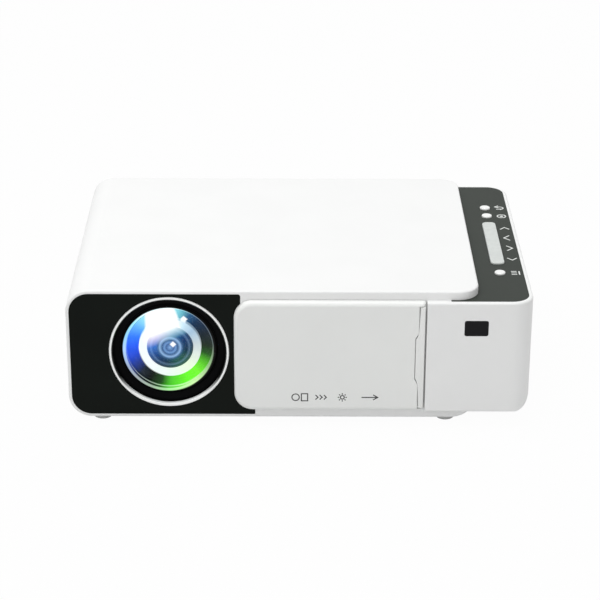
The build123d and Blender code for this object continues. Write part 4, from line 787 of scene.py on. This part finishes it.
def row(tree, count, x=0.0, y=0.0, z=0.0):
    return shape(tree, "MeshLine", {"Count": count, "Offset": vector(tree, x, y, z)}, mode="OFFSET")


# How many sides the grown rounds have
roundSides = {"knob": 96, "loop": 64, "core": 40, "head": 32, "shank": 16, "ridge": 8, "wire": 6}

# Case screws: round heads with a cross recess, each turned its own way, on long or short shanks
screwLook = {
    "places": [(-88, -50, 5), (-88, 24, 5), (58, -44, 5), (56, 26.5, 5), (64.6, -30, 3.4),
               (64.6, 30, 3.4)],
    "reaches": [20 * mm] * 4 + [9.5 * mm] * 2,
    "sizes": {"Head radius": 2.8 * mm, "Head height": 2.0 * mm, "Shank radius": 1.4 * mm,
              "Shank start": 0.99, "Cross length": 3.4 * mm, "Cross width": 0.75 * mm,
              "Cross depth": 1.2 * mm, "Seed": 7},
}


def screwShape(tree, given):
    height, width, length = given["Head height"], given["Cross width"], given["Cross length"]
    head = bar(tree, given["Head radius"], height, roundSides["head"])
    head = moved(tree, head, vector(tree, z=times(tree, height, 0.5)))
    depth = times(tree, given["Cross depth"], 2.0)
    head = cut(tree, head, box(tree, length, width, depth), box(tree, width, length, depth))
    turn = addNode(tree, "FunctionNodeRandomValue", {"Max": math.pi / 2, "Seed": given["Seed"]},
                   data_type="FLOAT")
    heads = scattered(tree, given["Seeds"], head, Rotation=vector(tree, z=turn.outputs[1]))
    shank = bar(tree, given["Shank radius"], 1.0, roundSides["shank"])
    shank = moved(tree, shank, (0, 0, 0.5))
    reach = shape(tree, "InputNamedAttribute", {"Name": "reach"}, data_type="FLOAT")
    start = vector(tree, z=times(tree, height, given["Shank start"]))
    lifted = shape(tree, "SetPosition", {"Geometry": given["Seeds"], "Offset": start})
    return joined(tree, heads, scattered(tree, lifted, shank, Scale=vector(tree, 1.0, 1.0, reach)))


screws = growPiece("crossScrews", screwLook["places"], screwLook["sizes"], screwShape,
                   finish["screwSteel"], extra={"reach": screwLook["reaches"]})
settle(screws, "case", ["case_screws"])

# Woven dust screen behind the air slots of the left wall
screenLook = {
    "corner": (-98.2, -34.0, 24.5),
    "sizes": {"Wires across": 53, "Wires up": 25, "Pitch": 1.0 * mm, "Wire radius": 0.13 * mm,
              "Weave": 1.6},
}


def screenShape(tree, given):
    pitch, wire = given["Pitch"], given["Wire radius"]
    tall = times(tree, pitch, given["Wires up"])
    wide = times(tree, pitch, given["Wires across"])
    middle = vector(tree, z=times(tree, tall, 0.5))
    upright = moved(tree, bar(tree, wire, tall, roundSides["wire"]), middle)
    middle = vector(tree, times(tree, wire, given["Weave"]), times(tree, wide, 0.5))
    level = moved(tree, bar(tree, wire, wide, roundSides["wire"]), middle, (math.pi / 2, 0, 0))
    uprights = scattered(tree, row(tree, given["Wires across"], y=pitch), upright)
    levels = scattered(tree, row(tree, given["Wires up"], z=pitch), level)
    return scattered(tree, given["Seeds"], joined(tree, uprights, levels))


screen = growPiece("dustScreen", [screenLook["corner"]], screenLook["sizes"], screenShape,
                   finish["rodSteel"])
settle(screen, "case")

# Gold contacts on the tongues of the two metal-shelled sockets
pictureSizes = {"Pitch": 1.0 * mm, "Width": 0.45 * mm, "Length": 4 * mm, "Height": 0.1 * mm}
dataSizes = {"Pitch": 2.3 * mm, "Width": 1.1 * mm, "Length": 6 * mm, "Height": 0.12 * mm}
contactRows = {
    "pictureContactsTop": ((-60, 66.6, 15.93), {"Count": 10, **pictureSizes}),
    "pictureContactsLow": ((-60, 66.6, 14.87), {"Count": 9, **pictureSizes}),
    "dataContacts": ((-38, 65.2, 14.76), {"Count": 4, **dataSizes}),
}


def contactShape(tree, given):
    pitch = given["Pitch"]
    half = times(tree, times(tree, minus(tree, given["Count"], 1.0), pitch), -0.5)
    line = moved(tree, row(tree, given["Count"], x=pitch), vector(tree, half))
    pad = box(tree, given["Width"], given["Length"], given["Height"])
    return scattered(tree, given["Seeds"], scattered(tree, line, pad))


for name, (place, sizes) in contactRows.items():
    contacts = growPiece(name, [place], sizes, contactShape, finish["contactGold"])
    settle(contacts, "case")

# Elevation screw: fluted knob below, real thread above
threadLook = {
    "place": (12.0, -53.5, 1.8),
    "sizes": {"Knob radius": 8.0 * mm, "Knob height": 4.4 * mm, "Flutes": 16,
              "Flute radius": 1.1 * mm, "Flute reach": 0.5 * mm, "Pin bore": 1.55 * mm,
              "Pin depth": 3.1 * mm, "Core start": 0.97, "Root radius": 2.5 * mm,
              "Crest": 0.5 * mm, "Thread length": 9.4 * mm, "Thread share": 0.93,
              "Turns": 9.4 / 1.5},
}


def threadShape(tree, given):
    high, root, length = given["Knob height"], given["Root radius"], given["Thread length"]
    middle = vector(tree, z=times(tree, high, 0.5))
    twice = times(tree, high, 2.0)
    knob = moved(tree, bar(tree, given["Knob radius"], high, roundSides["knob"]), middle)
    outside = plus(tree, given["Knob radius"], given["Flute reach"])
    ring = shape(tree, "MeshCircle", {"Vertices": given["Flutes"], "Radius": outside})
    flute = moved(tree, bar(tree, given["Flute radius"], twice, roundSides["shank"]), middle)
    flutes = realized(tree, scattered(tree, ring, flute))
    deep = times(tree, given["Pin depth"], 2.0)
    knob = cut(tree, knob, flutes, bar(tree, given["Pin bore"], deep, roundSides["head"]))
    foot = times(tree, high, given["Core start"])
    middle = vector(tree, z=plus(tree, foot, times(tree, length, 0.5)))
    core = moved(tree, bar(tree, root, length, roundSides["core"]), middle)
    spiral = shape(tree, "CurveSpiral", {
        "Resolution": roundSides["core"], "Rotations": given["Turns"], "Start Radius": root,
        "End Radius": root, "Height": times(tree, length, given["Thread share"])})
    outline = ringCurve(tree, roundSides["wire"], given["Crest"])
    ridge = shape(tree, "CurveToMesh", {
        "Curve": spiral, "Profile Curve": outline, "Fill Caps": True})
    ridge = moved(tree, ridge, vector(tree, z=plus(tree, foot, given["Crest"])))
    return scattered(tree, given["Seeds"], joined(tree, knob, core, ridge))


thread = growPiece("elevationScrew", [threadLook["place"]], threadLook["sizes"], threadShape,
                   finish["knobBlack"])
settle(thread, "screw", ["foot_screw"])

# Ridges of the lens's inner stops, one beside each dark band of the painted reflections; they wear
# the same painted glow
ridgeLook = {
    "behind": 0.05,
    "sizes": {"Rings": 4, "First radius": 2.55 * mm, "Step": 1.95 * mm, "Ridge": 0.13 * mm,
              "Fall": 0.25 * mm},
}


def ridgeShape(tree, given):
    index = shape(tree, "InputIndex")
    reach = plus(tree, given["First radius"], times(tree, index, given["Step"]))
    places = row(tree, given["Rings"], y=given["Fall"])
    loops = scattered(tree, places, ringCurve(tree, roundSides["loop"], 1.0),
                      Rotation=(math.pi / 2, 0, 0), Scale=vector(tree, reach, reach, reach))
    outline = ringCurve(tree, roundSides["ridge"], given["Ridge"])
    inputs = {"Curve": realized(tree, loops), "Profile Curve": outline}
    return scattered(tree, given["Seeds"], shape(tree, "CurveToMesh", inputs))


slipX, slipZ = lensReflectionLook["slip"]
ridgeSeed = (lensX / mm + slipX, coreLook["face"] + ridgeLook["behind"], lensZ / mm + slipZ)
ridges = growPiece("stopRidges", [ridgeSeed], ridgeLook["sizes"], ridgeShape, finish["reflectionGlowDisc"])
settle(ridges, "barrel")
print("repeating pieces grown")

# Finger grip: the cover's own plastic, with rounded rims, standing a shadow line clear of its seat
gripLook = {
    "outline": [(53.55, 56.6), (51.25, 56.6), (51.25, 44.3), (49.75, 42.0), (49.75, 23.2),
                (51.25, 20.4), (51.25, 10.2), (51.5, 9.45), (52.0, 9.1), (52.8, 9.1),
                (53.3, 9.45), (53.55, 10.2)],
    "front": -71.0, "back": -69.72, "round": 0.3 * mm, "steps": 4,
}


def fingerGrip(look):
    mesh = bmesh.new()
    front, back = ([mesh.verts.new((x * mm, look[side] * mm, z * mm)) for x, z in look["outline"]]
                   for side in ("front", "back"))
    face = mesh.faces.new(front)
    mesh.faces.new(reversed(back))
    for k in range(len(front)):
        following = (k + 1) % len(front)
        mesh.faces.new((front[k], back[k], back[following], front[following]))
    bmesh.ops.bevel(mesh, geom=face.edges[:], offset=look["round"], segments=look["steps"],
                    profile=0.5, affect="EDGES")
    return finishMesh(mesh, "fingerGrip", finish["coverWhite"], smooth=True)


settle(fingerGrip(gripLook), "cover", ["cover_grip"])
print("grip made")


# Flat printed marks: mitred strips and dots, a few hundredths of a millimetre thick at most
def stripOutline(points, width, closed):
    count = len(points)
    sides = ([], [])
    for index, point in enumerate(points):
        before = points[index - 1] if closed or index else None
        after = points[(index + 1) % count] if closed or index < count - 1 else None
        directions = []
        if before is not None:
            directions.append((point - before).normalized())
        if after is not None:
            directions.append((after - point).normalized())
        along = sum(directions, Vector((0, 0))).normalized()
        across = Vector((-along.y, along.x)) * width / 2
        stretch = 1 / max(abs(along.dot(directions[0])), mitreLimit)
        sides[0].append(point + across * stretch)
        sides[1].append(point - across * stretch)
    return sides


def addStrip(mesh, points, width, lift, thickness, closed=False):
    rows = []
    for first, second in zip(*stripOutline(points, width, closed)):
        corners = ((first, 0), (second, 0), (second, thickness), (first, thickness))
        rows.append([mesh.verts.new(lift(point, height)) for point, height in corners])
    pairs = list(zip(rows, rows[1:])) + ([(rows[-1], rows[0])] if closed else [])
    for start, end in pairs:
        for side in range(len(start)):
            following = (side + 1) % len(start)
            mesh.faces.new((start[side], start[following], end[following], end[side]))
    if not closed:
        mesh.faces.new(rows[0])
        mesh.faces.new(reversed(rows[-1]))


def addDot(mesh, rim, lift, thickness):
    low = [mesh.verts.new(lift(point, 0)) for point in rim]
    high = [mesh.verts.new(lift(point, thickness)) for point in rim]
    mesh.faces.new(low)
    mesh.faces.new(reversed(high))
    for k in range(len(rim)):
        following = (k + 1) % len(rim)
        mesh.faces.new((low[k], low[following], high[following], high[k]))


def arcPoints(centre, radius, start, end, steps):
    turns = [math.radians(start + (end - start) * k / steps) for k in range(steps + 1)]
    return [Vector(centre) + radius * Vector((math.cos(a), math.sin(a))) for a in turns]


def roundPoints(centre, radius, sides):
    return arcPoints(centre, radius, 0, 360 - 360 / sides, sides - 1)


# Marks are drawn from open strokes, closed frames, rings and dots, in millimetres from an origin
markSides = {"ring": 16, "dot": 20, "rays": 8}


def printMarks(name, look, lift, material):
    mesh = bmesh.new()
    line, thick, origin = look["line"], look["thick"], Vector(look["origin"])
    rings = [roundPoints(*ring, markSides["ring"]) for ring in look["rings"]]
    for shapes, closed in ((look["strokes"], False), (look["frames"] + rings, True)):
        for points in shapes:
            placed = [(Vector(point) + origin) * mm for point in points]
            addStrip(mesh, placed, line, lift, thick, closed)
    for dot in look["dots"]:
        rim = [(point + origin) * mm for point in roundPoints(*dot, markSides["dot"])]
        addDot(mesh, rim, lift, thick)
    return finishMesh(mesh, name, material)


def deckLift(point, height):
    return Vector((point.x, point.y, deckTop + height))


def coverLift(point, height):
    return Vector((point.x, coverFace - height, point.y))


printBase = {"grain": 0.1 * mm, "rough": 0.5, "bump": 0.1}

# Pale marks beside the keys: turn-back arrow, dotted ring, four chevrons, list lines
keyMarkLook = {
    "origin": (94.8, 0.0), "line": 0.6 * mm, "thick": 0.05 * mm, "colour": (0.72, 0.74, 0.72),
    "strokes": [
        [(-1.7, 39.6), (0.2, 39.6), *arcPoints((0.2, 41.1), 1.5, -90, 90, 8), (-1.2, 42.6)],
        [(-0.4, 44.1), (-2.1, 42.6), (-0.4, 41.1)],
        [(-2.1, 13.9), (0, 16.2), (2.1, 13.9)],
        [(1.2, 6.1), (-1.4, 3.3), (1.2, 0.5)],
        [(-1.2, -6.3), (1.4, -9.1), (-1.2, -11.9)],
        [(-2.1, -20.8), (0, -23.1), (2.1, -20.8)],
        *([(-1.9, level), (0.5, level)] for level in (-39.5, -37.8, -36.1)),
        [(1.6, -39.7), (1.6, -35.9)],
    ],
    "frames": [],
    "rings": [((0, 30.5), 1.95)],
    "dots": [((0, 30.5), 0.8)],
}
finish["iconPale"] = mouldedPlastic("iconPale", {**printBase, "colour": keyMarkLook["colour"]})
keyMarks = printMarks("keyMarks", keyMarkLook, deckLift, finish["iconPale"])
settle(keyMarks, "case")

# Small dark pictograms on the sliding cover: a lens behind a half-drawn cover, three small
# chevrons, a lit lamp and the arrow that shows which way the cover moves
lampMark = (18.6, 0)
rayEnds = [roundPoints(lampMark, reach, markSides["rays"]) for reach in (1.35, 2.0)]
coverMarkLook = {
    "origin": (0.0, 14.2), "line": 0.48 * mm, "thick": 0.01 * mm, "colour": (0.03, 0.03, 0.03),
    "strokes": [
        *([(x, 1.1), (x + 1.1, 0), (x, -1.1)] for x in (7.0, 8.8, 10.6)),
        *zip(*rayEnds),
        [(26.9, 0), (33.6, 0)],
        [(31.9, 1.2), (33.9, 0), (31.9, -1.2)],
    ],
    "frames": [[(0.9, -1.7), (3.6, -1.7), (3.6, 1.7), (0.9, 1.7)]],
    "rings": [((-1.6, 0), 1.6), (lampMark, 0.85)],
    "dots": [],
}
finish["printDark"] = mouldedPlastic("printDark", {**printBase, "colour": coverMarkLook["colour"]})
coverMarks = printMarks("coverMarks", coverMarkLook, coverLift, finish["printDark"])
settle(coverMarks, "cover")
print("marks printed")

# Studio: a white floor, a soft key lamp above, a weak fill in front and a pale room. Seen by the
# camera or in a reflection, the floor is mostly plain white and keeps a trace of shadow.
floorLook = {"colour": (0.66, 0.66, 0.66), "shade": 0.995, "fleckAndGlint": 25 * mm, "size": 6.0,
             "rough": 0.9, "specular": 0.1, "plainWhite": 0.97}
roomLook = {"strength": 0.6, "seenStrength": 1.0}
lampLooks = {
    "keyLamp": {"place": (-0.3, -0.1, 1.5), "power": 13.2, "size": 1.2},
    "fillLamp": {"place": (-0.5, -1.6, 0.7), "power": 4.5, "size": 1.6},
}


def softLamp(name, look):
    lamp = bpy.data.lights.new(name, "AREA")
    lamp.energy = look["power"]
    lamp.size = look["size"]
    lamp.shape = "SQUARE"
    place = Vector(look["place"])
    holder = bpy.data.objects.new(name, lamp)
    holder.location = place
    holder.rotation_euler = (-place).to_track_quat("-Z", "Y").to_euler()
    bpy.context.scene.collection.objects.link(holder)


def seenDirectly(tree):
    path = addNode(tree, "ShaderNodeLightPath").outputs
    seen = maths(tree, "MAXIMUM", path["Is Camera Ray"], path["Is Glossy Ray"])
    return maths(tree, "MAXIMUM", seen, path["Is Transmission Ray"])


def makeFloor(look):
    half = look["size"] / 2
    mesh = bmesh.new()
    corners = ((-half, -half, 0), (half, -half, 0), (half, half, 0), (-half, half, 0))
    mesh.faces.new([mesh.verts.new(corner) for corner in corners])
    material, tree, shader = newMaterial("floorWhite")
    feed(tree, shader, {
        "Base Color": shaded(tree, grain(tree, objectPoint(tree), look["fleckAndGlint"]), look),
        "Roughness": look["rough"],
        "Specular IOR Level": look["specular"],
    })
    plain = addNode(tree, "ShaderNodeEmission", {"Color": (*white, 1.0), "Strength": 1.0})
    mixSurface(tree, shader, times(tree, seenDirectly(tree), look["plainWhite"]), plain)
    floor = finishMesh(mesh, "floor", material)


def makeRoom(look):
    world = bpy.data.worlds.new("studioRoom")
    world.use_nodes = True
    tree = world.node_tree
    tree.nodes.clear()
    seen = seenDirectly(tree)
    strength = spread(tree, seen, 0.0, 1.0, look["strength"], look["seenStrength"])
    inputs = {"Color": (*white, 1.0), "Strength": strength}
    background = addNode(tree, "ShaderNodeBackground", inputs)
    addNode(tree, "ShaderNodeOutputWorld", {"Surface": background.outputs[0]})
    bpy.context.scene.world = world


makeFloor(floorLook)
makeRoom(roomLook)
for name, look in lampLooks.items():
    softLamp(name, look)

# Camera at the photograph's place, in millimetres and degrees
cameraLook = {"place": (-3.63, -875.11, 411.97), "yaw": 0.266, "down": 23.634, "roll": 0.276,
              "lens": 124.37, "sensor": 36.0, "nearest": 10.0}


def makeCamera(look):
    yaw, down, roll = (math.radians(look[key]) for key in ("yaw", "down", "roll"))
    level = Vector((math.sin(yaw), math.cos(yaw), 0))
    ahead = level * math.cos(down) - Vector((0, 0, math.sin(down)))
    right = Vector((math.cos(yaw), -math.sin(yaw), 0))
    up = right.cross(ahead)
    rolledRight = right * math.cos(roll) + up * math.sin(roll)
    rolledUp = up * math.cos(roll) - right * math.sin(roll)
    data = bpy.data.cameras.new("photoCamera")
    data.sensor_width = look["sensor"]
    data.lens = look["lens"]
    data.clip_start = look["nearest"] * mm
    camera = bpy.data.objects.new("photoCamera", data)
    turn = Matrix((rolledRight, rolledUp, -ahead)).transposed()
    camera.matrix_world = Matrix.Translation(Vector(look["place"]) * mm) @ turn.to_4x4()
    bpy.context.scene.collection.objects.link(camera)
    bpy.context.scene.camera = camera


makeCamera(cameraLook)
bpy.context.scene.view_settings.view_transform = "Standard"
print("studio ready")
